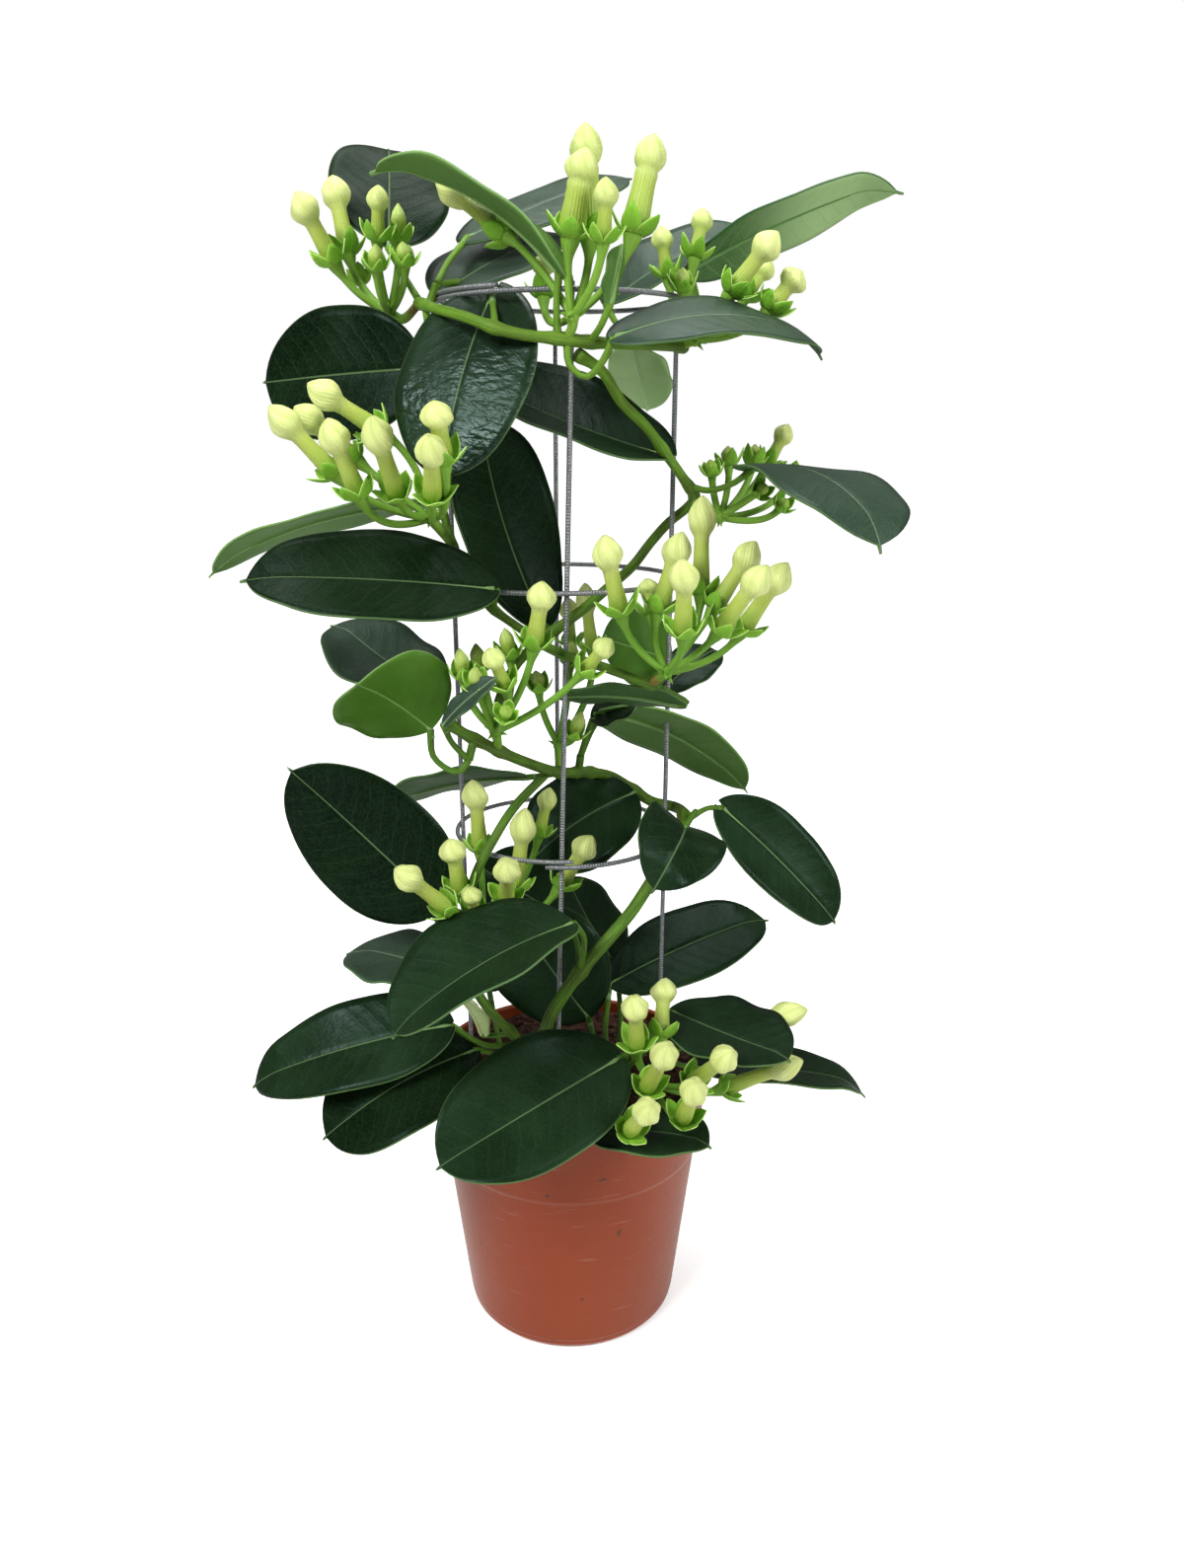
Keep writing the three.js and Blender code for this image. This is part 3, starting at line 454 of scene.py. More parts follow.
def mottle_group() -> bpy.types.NodeTree:
    """Builds soft patches and fine grain, for any surface that isn't even.

    Returns:
        The group. It puts out broad patches and a fine grain, each 0 to 1.
    """
    name = "mottle"
    if name in bpy.data.node_groups:
        return bpy.data.node_groups[name]
    w, takes, gives = new_group(
        name, {"Place": VECTOR, "Broad": FLOAT, "Fine": FLOAT}, {"Patches": FLOAT, "Grain": FLOAT}
    )
    broad, fine = w.add("ShaderNodeTexNoise"), w.add("ShaderNodeTexNoise")
    for node, scale, detail in ((broad, takes["Broad"], 3.0), (fine, takes["Fine"], 4.0)):
        w.feed(node.inputs["Vector"], takes["Place"])
        w.feed(node.inputs["Scale"], scale)
        node.inputs["Detail"].default_value = detail
    w.feed(gives["Patches"], w.fade(broad.outputs["Fac"], 0.32, 0.68))
    w.feed(gives["Grain"], w.fade(fine.outputs["Fac"], 0.3, 0.7))
    return w.tree


@dataclass(frozen=True)
class Finish:
    """A named surface. Its kinds say what it looks like."""

    name: str
    roughness: float = 0.5

    def material(self) -> bpy.types.Material:
        """Gives the material, made the first time it is asked for."""
        made = bpy.data.materials.get(self.name)
        if made is None:
            made = bpy.data.materials.new(self.name)
            made.use_nodes = True
            shader = made.node_tree.nodes["Principled BSDF"]
            shader.inputs["Roughness"].default_value = self.roughness
            self.paint(Wiring(made.node_tree), shader.inputs)
        return made

    def paint(self, w: Wiring, shader: bpy.types.NodeInputs) -> None:
        """Feeds the shader's sockets."""
        raise NotImplementedError


@dataclass(frozen=True)
class BladeFinish(Finish):
    """The skin of a leaf or sepal: patches, veins, a midrib and a margin.

    With a reach, the colour turns from deep to light over that length from the base, in place of the patches:
    painted shade near the base and painted light further out.
    """

    deep: Colour = (0.0035, 0.011, 0.0042)
    light: Colour = (0.0115, 0.03, 0.0105)
    vein: Colour = (0.03, 0.065, 0.025)
    midrib: Colour = (0.1, 0.165, 0.07)
    margin: Colour = (0.045, 0.075, 0.03)
    side_strength: float = 0.14
    spacing: float = 7.0
    midrib_half: float = 0.45
    relief: float = 0.14
    pucker: float = 0.9
    specular: float = 0.1
    tint: Colour = (0.72, 1.0, 0.95)
    glow: float = 0.0
    glow_depth: float = 2.0
    reach: float = 0.0
    patch_share: float = 0.6
    grain_strength: float = 0.18
    midrib_strength: float = 0.85
    margin_strength: float = 0.8
    smoother: float = 0.05
    rougher: float = 0.07
    fold_scale: float = 0.42
    folds_from: float = 18.0
    folds_full: float = 42.0
    folds_least: float = 0.15

    def paint(self, w: Wiring, shader: bpy.types.NodeInputs) -> None:
        """Feeds the shader with the blade's colours, its gloss and its relief."""
        blade = w.attribute("blade")
        place = w.place()
        luck, wrinkled, _ = w.split(w.attribute("tone"))
        veins = w.group(vein_group(), Blade=blade, Spacing=self.spacing, Midrib=self.midrib_half).outputs
        mottle = w.group(mottle_group(), Place=place, Broad=38.0, Fine=900.0).outputs
        along = w.split(blade)[0]
        patches = w.math("MULTIPLY", mottle["Patches"], self.patch_share)
        share = w.math("ADD", patches, w.math("MULTIPLY", luck, 1.0 - self.patch_share))
        # Painted shade and light: with a reach the colour runs from deep at the base to light further out, in
        # place of the patches.
        if self.reach:
            share = w.fade(along, 0.25 * self.reach, self.reach)
        colour = w.mix(share, self.deep, self.light)
        colour = w.mix(w.math("MULTIPLY", mottle["Grain"], self.grain_strength), colour, self.vein)
        colour = w.mix(w.math("MULTIPLY", veins["Side"], self.side_strength), colour, self.vein)
        colour = w.mix(w.math("MULTIPLY", veins["Midrib"], self.midrib_strength), colour, self.midrib)
        colour = w.mix(w.math("MULTIPLY", veins["Margin"], self.margin_strength), colour, self.margin)
        w.feed(shader["Base Color"], colour)
        smooth, rough = self.roughness - self.smoother, self.roughness + self.rougher
        w.feed(shader["Roughness"], w.fade(mottle["Patches"], 0.0, 1.0, smooth, rough))
        folds = w.noise(w.scaled(blade, (1.0, 0.5, 0.0)), self.fold_scale, 2.0, 0.45)
        outer = w.fade(along, self.folds_from, self.folds_full, self.folds_least, 1.0)
        pucker = w.math("MULTIPLY", folds, w.math("MULTIPLY", wrinkled, outer))
        relief = w.bump(veins["Height"], self.relief, w.bump(pucker, self.pucker))
        w.feed(shader["Normal"], w.bump(mottle["Grain"], 0.03, relief))
        shader["Specular IOR Level"].default_value = self.specular
        shader["Specular Tint"].default_value = (*self.tint, 1.0)
        if self.glow:
            shader["Subsurface Weight"].default_value = self.glow
            shader["Subsurface Radius"].default_value = (0.6, 1.0, 0.3)
            shader["Subsurface Scale"].default_value = self.glow_depth * MM


@dataclass(frozen=True)
class BudFinish(Finish):
    """The waxy corolla: green at the calyx, paler to the head, with fine streaks, and shade painted into the
    creases between its five lobes.
    """

    foot: Colour = (0.24, 0.4, 0.035)
    tube: Colour = (0.43, 0.53, 0.095)
    head: Colour = (0.7, 0.77, 0.3)
    unripe: Colour = (0.28, 0.5, 0.045)
    streaks: float = 24.0
    lobes: float = 5.0
    # How much shade is painted into the creases between the lobes.
    lobe_shade_strength: float = 0.25
    patch_strength: float = 0.15
    glow: float = 0.35
    glow_depth: float = 1.5
    specular: float = 0.35

    def paint(self, w: Wiring, shader: bpy.types.NodeInputs) -> None:
        """Feeds the shader with colours that follow the bud from calyx to tip."""
        across, up, along = w.split(w.attribute("run"))
        ripeness = w.split(w.attribute("tone"))[1]
        angle = w.math("ARCTAN2", up, across)
        turns = w.math("ADD", w.math("MULTIPLY", angle, self.streaks), w.noise(w.place(), 260.0))
        streak = w.math("SINE", turns)
        lobes = w.math("COSINE", w.math("MULTIPLY", angle, self.lobes))
        mottle = w.group(mottle_group(), Place=w.place(), Broad=160.0, Fine=1500.0).outputs
        colour = w.mix(w.fade(along, 0.0, 0.42), self.foot, self.tube)
        colour = w.mix(w.fade(along, 0.45, 0.75), colour, self.head)
        # Painted shade: the creases between the five lobes of the head are darkened towards the tube colour.
        painted_lobe_shade = w.math("MULTIPLY", w.fade(lobes, -0.5, -1.0), w.fade(along, 0.6, 0.8, 0.0, self.lobe_shade_strength))
        colour = w.mix(painted_lobe_shade, colour, self.tube)
        lines = w.math("MULTIPLY", w.fade(streak, 0.2, 1.0), w.fade(along, 0.1, 0.75, 0.4, 0.08))
        colour = w.mix(lines, colour, self.foot)
        colour = w.mix(w.math("MULTIPLY", mottle["Patches"], self.patch_strength), colour, self.tube)
        colour = w.mix(w.fade(ripeness, 0.0, 1.0, 0.85, 0.0), colour, self.unripe)
        w.feed(shader["Base Color"], colour)
        w.feed(shader["Normal"], w.bump(w.math("ADD", streak, mottle["Grain"]), 0.05))
        shader["Subsurface Weight"].default_value = self.glow
        shader["Subsurface Radius"].default_value = (1.0, 0.9, 0.35)
        shader["Subsurface Scale"].default_value = self.glow_depth * MM
        shader["Specular IOR Level"].default_value = self.specular


@dataclass(frozen=True)
class StemFinish(Finish):
    """Green bark with lengthwise streaks, paler higher up, that turns brown in patches."""

    green: Colour = (0.045, 0.12, 0.009)
    pale: Colour = (0.15, 0.31, 0.024)
    brown: Colour = (0.075, 0.05, 0.022)
    browning: float = 0.35
    young_from: float = 300.0
    young_full: float = 400.0
    rust_full: float = 3.0
    rust_end: float = 11.0
    specular: float = 0.2

    def paint(self, w: Wiring, shader: bpy.types.NodeInputs) -> None:
        """Feeds the shader with streaks along the stem and patches of brown."""
        run = w.attribute("run")
        rust = w.split(w.attribute("tone"))[2]
        streaks = w.noise(w.scaled(run, (2.4, 2.4, 0.05)), 1.6, 3.0)
        mottle = w.group(mottle_group(), Place=w.place(), Broad=70.0, Fine=1400.0).outputs
        young = w.fade(w.split(w.place())[2], self.young_from * MM, self.young_full * MM, 0.0, 0.5)
        share = w.math("ADD", w.fade(streaks, 0.35, 0.65, 0.0, 0.5), young)
        colour = w.mix(share, self.green, self.pale)
        patch = w.math("MULTIPLY", mottle["Patches"], self.browning)
        foot = w.math("MULTIPLY", rust, w.fade(w.split(run)[2], self.rust_full, self.rust_end, 1.0, 0.0))
        colour = w.mix(w.math("MAXIMUM", patch, foot), colour, self.brown)
        w.feed(shader["Base Color"], colour)
        w.feed(shader["Normal"], w.bump(mottle["Grain"], 0.08, w.bump(streaks, 0.25)))
        shader["Specular IOR Level"].default_value = self.specular


@dataclass(frozen=True)
class WireFinish(Finish):
    """Galvanised wire with fine ribs across it, and shade painted into the grooves between them."""

    bright: Colour = (0.3, 0.31, 0.32)
    # The grey of the duller patches, also used for the shade painted into the grooves.
    dull_and_groove_shade: Colour = (0.17, 0.18, 0.185)
    pitch: float = 1.15
    rib_depth: float = 0.22
    metallic: float = 0.75

    def paint(self, w: Wiring, shader: bpy.types.NodeInputs) -> None:
        """Feeds the shader with ribs, duller patches, painted shade in the grooves and a fine grain."""
        along = w.split(w.attribute("run"))[2]
        ribs = w.math("SINE", w.math("MULTIPLY", along, TURN / self.pitch))
        mottle = w.group(mottle_group(), Place=w.place(), Broad=90.0, Fine=2200.0).outputs
        colour = w.mix(w.math("MULTIPLY", mottle["Patches"], 0.4), self.bright, self.dull_and_groove_shade)
        # Painted shade: the grooves between the ribs are darkened towards the duller grey.
        colour = w.mix(w.fade(ribs, 0.0, -1.0, 0.0, 0.4), colour, self.dull_and_groove_shade)
        w.feed(shader["Base Color"], colour)
        w.feed(shader["Roughness"], w.fade(mottle["Grain"], 0.0, 1.0, self.roughness, self.roughness + 0.15))
        relief = w.bump(w.math("ADD", w.math("MULTIPLY", ribs, 0.5), 0.5), self.rib_depth)
        w.feed(shader["Normal"], w.bump(mottle["Grain"], 0.05, relief))
        shader["Metallic"].default_value = self.metallic


@dataclass(frozen=True)
class PotFinish(Finish):
    """Thin terracotta-coloured plastic: satin, with a soft sheen, specks of peat and scuffs."""

    body: Colour = (0.275, 0.04, 0.006)
    faded: Colour = (0.295, 0.054, 0.013)
    speck: Colour = (0.06, 0.025, 0.015)
    scuff: Colour = (0.62, 0.36, 0.26)
    specular: float = 0.3
    sheen: Colour = (1.0, 0.82, 0.74)
    sheen_weight: float = 0.75
    sheen_roughness: float = 0.3

    def paint(self, w: Wiring, shader: bpy.types.NodeInputs) -> None:
        """Feeds the shader with faded patches, specks and scuffs, and sets its sheen."""
        place = w.place()
        mottle = w.group(mottle_group(), Place=place, Broad=14.0, Fine=700.0).outputs
        colour = w.mix(w.math("MULTIPLY", mottle["Patches"], 0.7), self.body, self.faded)
        specks = w.fade(w.noise(place, 260.0, 0.0), 0.82, 0.86)
        colour = w.mix(w.math("MULTIPLY", specks, 0.75), colour, self.speck)
        lanes = w.noise(w.scaled(place, (1.0, 1.0, 9.0)), 60.0, 3.0)
        scuffs = w.math("MULTIPLY", w.fade(lanes, 0.62, 0.8), 0.22)
        colour = w.mix(scuffs, colour, self.scuff)
        w.feed(shader["Base Color"], colour)
        w.feed(shader["Roughness"], w.fade(mottle["Grain"], 0.0, 1.0, self.roughness, self.roughness + 0.06))
        w.feed(shader["Normal"], w.bump(mottle["Grain"], 0.03))
        shader["Specular IOR Level"].default_value = self.specular
        shader["Sheen Weight"].default_value = self.sheen_weight
        shader["Sheen Roughness"].default_value = self.sheen_roughness
        shader["Sheen Tint"].default_value = (*self.sheen, 1.0)


@dataclass(frozen=True)
class PeatFinish(Finish):
    """Damp fibrous peat: dark red-brown crumbs with paler threads."""

    damp: Colour = (0.02, 0.007, 0.005)
    dry: Colour = (0.1, 0.045, 0.028)
    thread: Colour = (0.3, 0.19, 0.11)
    threads: float = 0.0
    specular: float = 0.2

    def paint(self, w: Wiring, shader: bpy.types.NodeInputs) -> None:
        """Feeds the shader with crumbs and threads."""
        place = w.place()
        mottle = w.group(mottle_group(), Place=place, Broad=190.0, Fine=900.0).outputs
        colour = w.mix(mottle["Patches"], self.damp, self.dry)
        strands = w.noise(w.scaled(place, (1.0, 4.0, 1.0)), 420.0, 4.0, 0.7)
        fibres = w.fade(strands, 0.6, 0.72, 0.0, 0.4)
        colour = w.mix(w.math("MAXIMUM", fibres, self.threads), colour, self.thread)
        w.feed(shader["Base Color"], colour)
        w.feed(shader["Normal"], w.bump(w.math("ADD", mottle["Patches"], mottle["Grain"]), 0.9))
        shader["Specular IOR Level"].default_value = self.specular


@dataclass(frozen=True)
class StageFinish(Finish):
    """The pale floor under the pot, which runs out to plain white."""

    colour: Colour = (0.8, 0.8, 0.8)
    near: float = 0.5
    far: float = 1.0
    near_end: float = 0.1
    far_start: float = 0.5

    def paint(self, w: Wiring, shader: bpy.types.NodeInputs) -> None:
        """Sets the floor's even colour, and lets it glow to the camera alone, more far out."""
        seen = w.add("ShaderNodeLightPath").outputs["Is Camera Ray"]
        x, y, _ = w.split(w.place())
        out = w.math("SQRT", w.math("ADD", w.math("MULTIPLY", x, x), w.math("MULTIPLY", y, y)))
        shine = w.fade(out, self.near_end, self.far_start, self.near, self.far)
        shader["Base Color"].default_value = (*self.colour, 1.0)
        shader["Emission Color"].default_value = (1.0, 1.0, 1.0, 1.0)
        w.feed(shader["Emission Strength"], w.math("MULTIPLY", seen, shine))
        shader["Specular IOR Level"].default_value = 0.0


# ------------------------------------------------------------------ pot and peat
POLE = 1e-3


def smooth_profile(corners: Sequence[tuple[float, float]], rounding: float) -> list[tuple[float, float]]:
    """Rounds the corners of a profile with three short steps each.

    Args:
        corners: Radius and height at each corner.
        rounding: How far from a corner its curve starts.

    Returns:
        The finer profile, with the same two ends.
    """
    made = [corners[0]]
    for before, corner, after in zip(corners, corners[1:], corners[2:]):
        here = Vector(corner)
        back, ahead = Vector(before) - here, Vector(after) - here
        start = here + back.normalized() * min(rounding, back.length * 0.4)
        end = here + ahead.normalized() * min(rounding, ahead.length * 0.4)
        for share in (0.0, 0.33, 0.67, 1.0):
            point = start.lerp(here, share).lerp(here.lerp(end, share), share)
            made.append((point.x, point.y))
    made.append(corners[-1])
    return made


def spun(shaping: Shaping, profile: Sequence[tuple[float, float]], steps: int) -> list[bmesh.types.BMVert]:
    """Turns a profile about the Z axis into a closed skin.

    Args:
        shaping: The mesh to add it to.
        profile: Radius and height, from pole to pole.
        steps: How many steps the full turn has.

    Returns:
        The new vertices.
    """
    bm = shaping.bm
    old = set(bm.verts)
    verts = [bm.verts.new((radius, 0.0, height)) for radius, height in profile]
    edges = [bm.edges.new(pair) for pair in zip(verts, verts[1:])]
    bmesh.ops.spin(
        bm, geom=verts + edges, axis=UP, cent=(0.0, 0.0, 0.0), steps=steps, angle=TURN, use_merge=True
    )
    fresh = [vert for vert in bm.verts if vert not in old]
    poles = [vert for vert in fresh if math.hypot(vert.co.x, vert.co.y) < POLE / 10.0]
    bmesh.ops.remove_doubles(bm, verts=poles, dist=POLE)
    fresh = [vert for vert in bm.verts if vert not in old]
    faces = list({face for vert in fresh for face in vert.link_faces})
    bmesh.ops.recalc_face_normals(bm, faces=faces)
    return fresh


@dataclass(frozen=True)
class NurseryPot:
    """The tapered pot: foot, wall, wider band, rolled lip and drain holes."""

    height: float = 122.0
    rim_radius: float = 65.0
    base_radius: float = 48.3
    wall: float = 1.5
    floor: float = 2.2
    foot: float = 3.0
    foot_width: float = 5.0
    recess: float = 0.8
    crease: float = 5.2
    crease_step: float = 0.25
    band: float = 36.0
    band_slope: float = 2.0
    step: float = 0.7
    lip_height: float = 5.0
    lip_width: float = 1.4
    drain_radius: float = 4.0
    drain_ring: float = 27.0
    drains: int = 4
    drain_sides: int = 24
    rounding: float = 0.8
    steps: int = 120

    def radius(self, z: float) -> float:
        """Gives the plain wall's outer radius at a height."""
        return lerp(self.base_radius, self.rim_radius - self.lip_width, z / self.height)

    def build(self) -> bpy.types.Object:
        """Spins the pot and cuts its drain holes."""
        band, lip = self.height - self.band, self.height - self.lip_height
        inner = self.radius(0.0) - self.foot - self.foot_width
        above = self.crease + 0.6
        outline = [
            (0.0, self.recess),
            (inner, self.recess),
            (inner + 1.0, 0.0),
            (inner + 1.0 + self.foot_width, 0.0),
            (self.radius(self.foot), self.foot),
            (self.radius(self.crease), self.crease),
            (self.radius(above) + self.crease_step, above),
            (self.radius(band - self.band_slope), band - self.band_slope),
            (self.radius(band) + self.step, band),
            (self.radius(lip) + self.step, lip),
            (self.radius(lip) + self.lip_width, lip + 1.0),
            (self.rim_radius, self.height),
            (self.radius(self.height) - self.wall, self.height),
            (self.radius(self.height - 3.0) - self.wall, self.height - 3.0),
            (self.radius(self.floor) - self.wall, self.floor),
            (0.0, self.floor),
        ]
        shaping = Shaping()
        spun(shaping, smooth_profile(outline, self.rounding), self.steps)
        shaping.finish_faces(shaping.bm.faces, 0)
        plastic = PotFinish("plastic_terracotta", roughness=0.36).material()
        pot = shaping.publish("fine_pot", [plastic], ["pot"])
        self._drill(pot)
        return pot

    def _drill(self, pot: bpy.types.Object) -> None:
        """Cuts the drain holes through the floor.

        Args:
            pot: The finished pot.
        """
        bm = bmesh.new()
        for i in range(self.drains):
            spot = Matrix.Rotation((i + 0.5) / self.drains * TURN, 4, "Z") @ Matrix.Translation(
                (self.drain_ring, 0.0, self.floor / 2)
            )
            bmesh.ops.create_cone(
                bm, cap_ends=True, segments=self.drain_sides, radius1=self.drain_radius,
                radius2=self.drain_radius, depth=4 * self.floor, matrix=Matrix.Scale(MM, 4) @ spot,
            )
        mesh = bpy.data.meshes.new("drains")
        bm.to_mesh(mesh)
        bm.free()
        cutter = bpy.data.objects.new("drains", mesh)
        bpy.context.scene.collection.objects.link(cutter)
        cut = pot.modifiers.new("drains", "BOOLEAN")
        cut.operation, cut.solver, cut.object = "DIFFERENCE", "EXACT", cutter
        with bpy.context.temp_override(object=pot, active_object=pot):
            bpy.ops.object.modifier_apply(modifier=cut.name)
        bpy.data.objects.remove(cutter)
        bpy.data.meshes.remove(mesh)


@dataclass(frozen=True)
class Peat:
    """The peat that fills the pot: an uneven top with crumbs and root fibres on it."""

    pot: NurseryPot
    top: float = 117.0
    crown: float = 2.0
    bottom: float = 2.6
    bevel: float = 2.0
    rings: int = 34
    steps: int = 96
    crumbs: int = 420
    crumb_size: tuple[float, float] = (0.7, 2.3)
    crumb_tilt: float = 0.6
    fibres: int = 110
    fibre_reach: tuple[float, float] = (3.0, 9.0)
    fibre_radius: tuple[float, float] = (0.16, 0.34)
    stray: float = 0.8
    seed: int = 11

    def level(self, x: float, y: float) -> float:
        """Gives the top's height at a place."""
        share = min(math.hypot(x, y) / self.pot.radius(self.top), 1.0)
        swell = self.crown * (1.0 - share * share)
        broad = noise.noise((x * 0.09, y * 0.09, 3.0)) * 1.6
        fine = noise.noise((x * 0.35, y * 0.35, 7.0)) * 1.1
        return self.top + swell + (broad + fine) * (1.0 - 0.5 * share**6)

    def build(self) -> bpy.types.Object:
        """Spins the body, roughens its top and strews it."""
        draw = random.Random(self.seed)
        fit = self.pot.wall + ROOM
        edge = self.pot.radius(self.top) - fit
        profile = [(0.0, self.bottom), (self.pot.radius(self.bottom) - fit, self.bottom)]
        profile += [(edge, self.top - self.bevel)]
        profile += [(edge * (1.0 - k / self.rings), self.top) for k in range(self.rings + 1)]
        shaping = Shaping()
        for vert in spun(shaping, profile, self.steps):
            if vert.co.z > self.top - 0.5:
                vert.co.z = self.level(vert.co.x, vert.co.y)
        shaping.finish_faces(shaping.bm.faces, 0)
        for _ in range(self.crumbs):
            self._crumb(shaping, draw, edge)
        for _ in range(self.fibres):
            self._fibre(shaping, draw, edge)
        peat = PeatFinish("peat_damp", roughness=0.95).material()
        thread = PeatFinish("root_fibre", roughness=0.8, threads=0.75).material()
        return shaping.publish("fine_soil", [peat, thread], ["soil"])

    def _spot(self, draw: random.Random, edge: float) -> tuple[float, float]:
        """Draws a place on the top."""
        far, angle = edge * 0.97 * math.sqrt(draw.random()), draw.uniform(0.0, TURN)
        return far * math.cos(angle), far * math.sin(angle)

    def _crumb(self, shaping: Shaping, draw: random.Random, edge: float) -> None:
        """Adds one crumb of peat, half sunk."""
        x, y = self._spot(draw, edge)
        size = draw.uniform(*self.crumb_size)
        place = Matrix.Translation((x, y, self.level(x, y) + size * 0.15))
        turn = Matrix.Rotation(draw.uniform(0.0, TURN), 4, "Z")
        tilt = Matrix.Rotation(draw.uniform(-self.crumb_tilt, self.crumb_tilt), 4, "X")
        shape = Matrix.Diagonal((size, size * draw.uniform(0.5, 0.9), size * draw.uniform(0.4, 0.8), 1.0))
        made = bmesh.ops.create_icosphere(
            shaping.bm, subdivisions=1, radius=1.0, matrix=place @ turn @ tilt @ shape
        )
        shaping.finish_faces({face for vert in made["verts"] for face in vert.link_faces}, 0, smooth=False)

    def _fibre(self, shaping: Shaping, draw: random.Random, edge: float) -> None:
        """Adds one root fibre that lies on the peat."""
        x, y = self._spot(draw, edge * 0.94)
        heading, reach = draw.uniform(0.0, TURN), draw.uniform(*self.fibre_reach)
        points = []
        for share in (-0.5, 0.0, 0.5):
            px = x + math.cos(heading) * reach * share + draw.uniform(-self.stray, self.stray)
            py = y + math.sin(heading) * reach * share + draw.uniform(-self.stray, self.stray)
            far = math.hypot(px, py) / (edge - 1.0)
            px, py = (px / far, py / far) if far > 1.0 else (px, py)
            points.append((px, py, self.level(px, py) + draw.uniform(0.1, 0.9)))
        thick = draw.uniform(*self.fibre_radius)
        shaping.tube(Route(points), lambda share: thick, 4, 4, 1)


# ------------------------------------------------------------------ trellis
@dataclass(frozen=True)
class Ring:
    """A wire ring, bent from one wire with its ends side by side. Angles are degrees."""

    name: str
    height: float
    radius: float
    start: float
    overlap: float


@dataclass(frozen=True)
class Trellis:
    """Four uprights and three rings of ribbed wire."""

    rings: tuple[Ring, ...]
    uprights: tuple[tuple[str, Triple, Triple], ...]
    radius: float = 1.0
    centre_x: float = -2.6
    rise: float = 2.4
    corners: int = 28
    ring_steps: int = 150
    upright_steps: int = 12
    sides: int = 12

    def build(self) -> list[bpy.types.Object]:
        """Bends each wire."""
        wire = WireFinish("wire_galvanised", roughness=0.4).material()
        made = []
        for ring in self.rings:
            made.append(self._wire(ring.name, self._bend(ring), self.ring_steps, wire))
        for name, top, foot in self.uprights:
            made.append(self._wire(name, Route((foot, top)), self.upright_steps, wire))
        return made

    def _bend(self, ring: Ring) -> Route:
        """Lays the line of a ring."""
        points = []
        for k in range(self.corners + 1):
            share = k / self.corners
            angle = math.radians(ring.start + share * (360.0 + ring.overlap))
            across = self.centre_x + ring.radius * math.cos(angle)
            points.append((across, ring.radius * math.sin(angle), ring.height + share * self.rise))
        return Route(points)

    def _wire(self, name: str, route: Route, rings: int, wire: bpy.types.Material) -> bpy.types.Object:
        """Draws one wire along a line, its cut ends slightly rounded."""
        def radius(share: float) -> float:
            """Gives the wire's radius."""
            return self.radius * min(1.0, 0.8 + min(share, 1.0 - share) * route.length)

        shaping = Shaping()
        shaping.tube(route, radius, rings, self.sides, 0)
        return shaping.publish(f"fine_{name}", [wire], [name])


# ------------------------------------------------------------------ stems
@dataclass(frozen=True)
class Shoot:
    """One shoot: its radius at the start and end, and the points of its route."""

    radii: tuple[float, float]
    route: tuple[Triple, ...]


@dataclass(frozen=True)
class Stem:
    """Shoots that are one piece of stem."""

    name: str
    shoots: tuple[Shoot, ...]


@dataclass(frozen=True)
class Vines:
    """The twining stems, swollen where a leaf or an umbel springs."""

    stems: tuple[Stem, ...]
    joints: tuple[Triple, ...]
    reach: float = 6.0
    swelling: float = 0.32
    swelling_reach: float = 3.2
    spacing: float = 2.2
    sides: int = 14

    def build(self) -> list[bpy.types.Object]:
        """Draws each stem."""
        bark = StemFinish("bark_green", roughness=0.55).material()
        made = []
        for stem in self.stems:
            shaping = Shaping()
            for shoot in stem.shoots:
                self._shoot(shaping, shoot)
            made.append(shaping.publish(f"fine_{stem.name}", [bark], [stem.name]))
        return made

    def _shoot(self, shaping: Shaping, shoot: Shoot) -> None:
        """Draws one shoot with its swellings."""
        route = Route(shoot.route)
        near = [route.nearest(Vector(joint)) for joint in self.joints]
        knots = [share for share, distance in near if distance < self.reach]

        def radius(share: float) -> float:
            """Gives the shoot's radius, thicker at each joint."""
            away = min((abs(share - k) * route.length for k in knots), default=math.inf)
            bulge = math.exp(-((away / self.swelling_reach) ** 2))
            return lerp(*shoot.radii, share) * (1.0 + self.swelling * bulge)

        shaping.tube(route, radius, max(12, round(route.length / self.spacing)), self.sides, 0)


# ------------------------------------------------------------------ leaves
class Tone(Enum):
    """The colour of a leaf. The underside of a LIT one is painted light, as if lit from behind, and that of a
    HALF one has painted shade at the base and painted light over its far half. A DARK one is a darker copy
    with painted shade, and a GREY one a greyer copy with a painted sheen.
    """

    DEEP = "deep"
    FRESH = "fresh"
    LIT = "lit"
    HALF = "half"
    GLOSSY = "glossy"
    DARK = "dark"
    GREY = "grey"
    PALE = "pale"


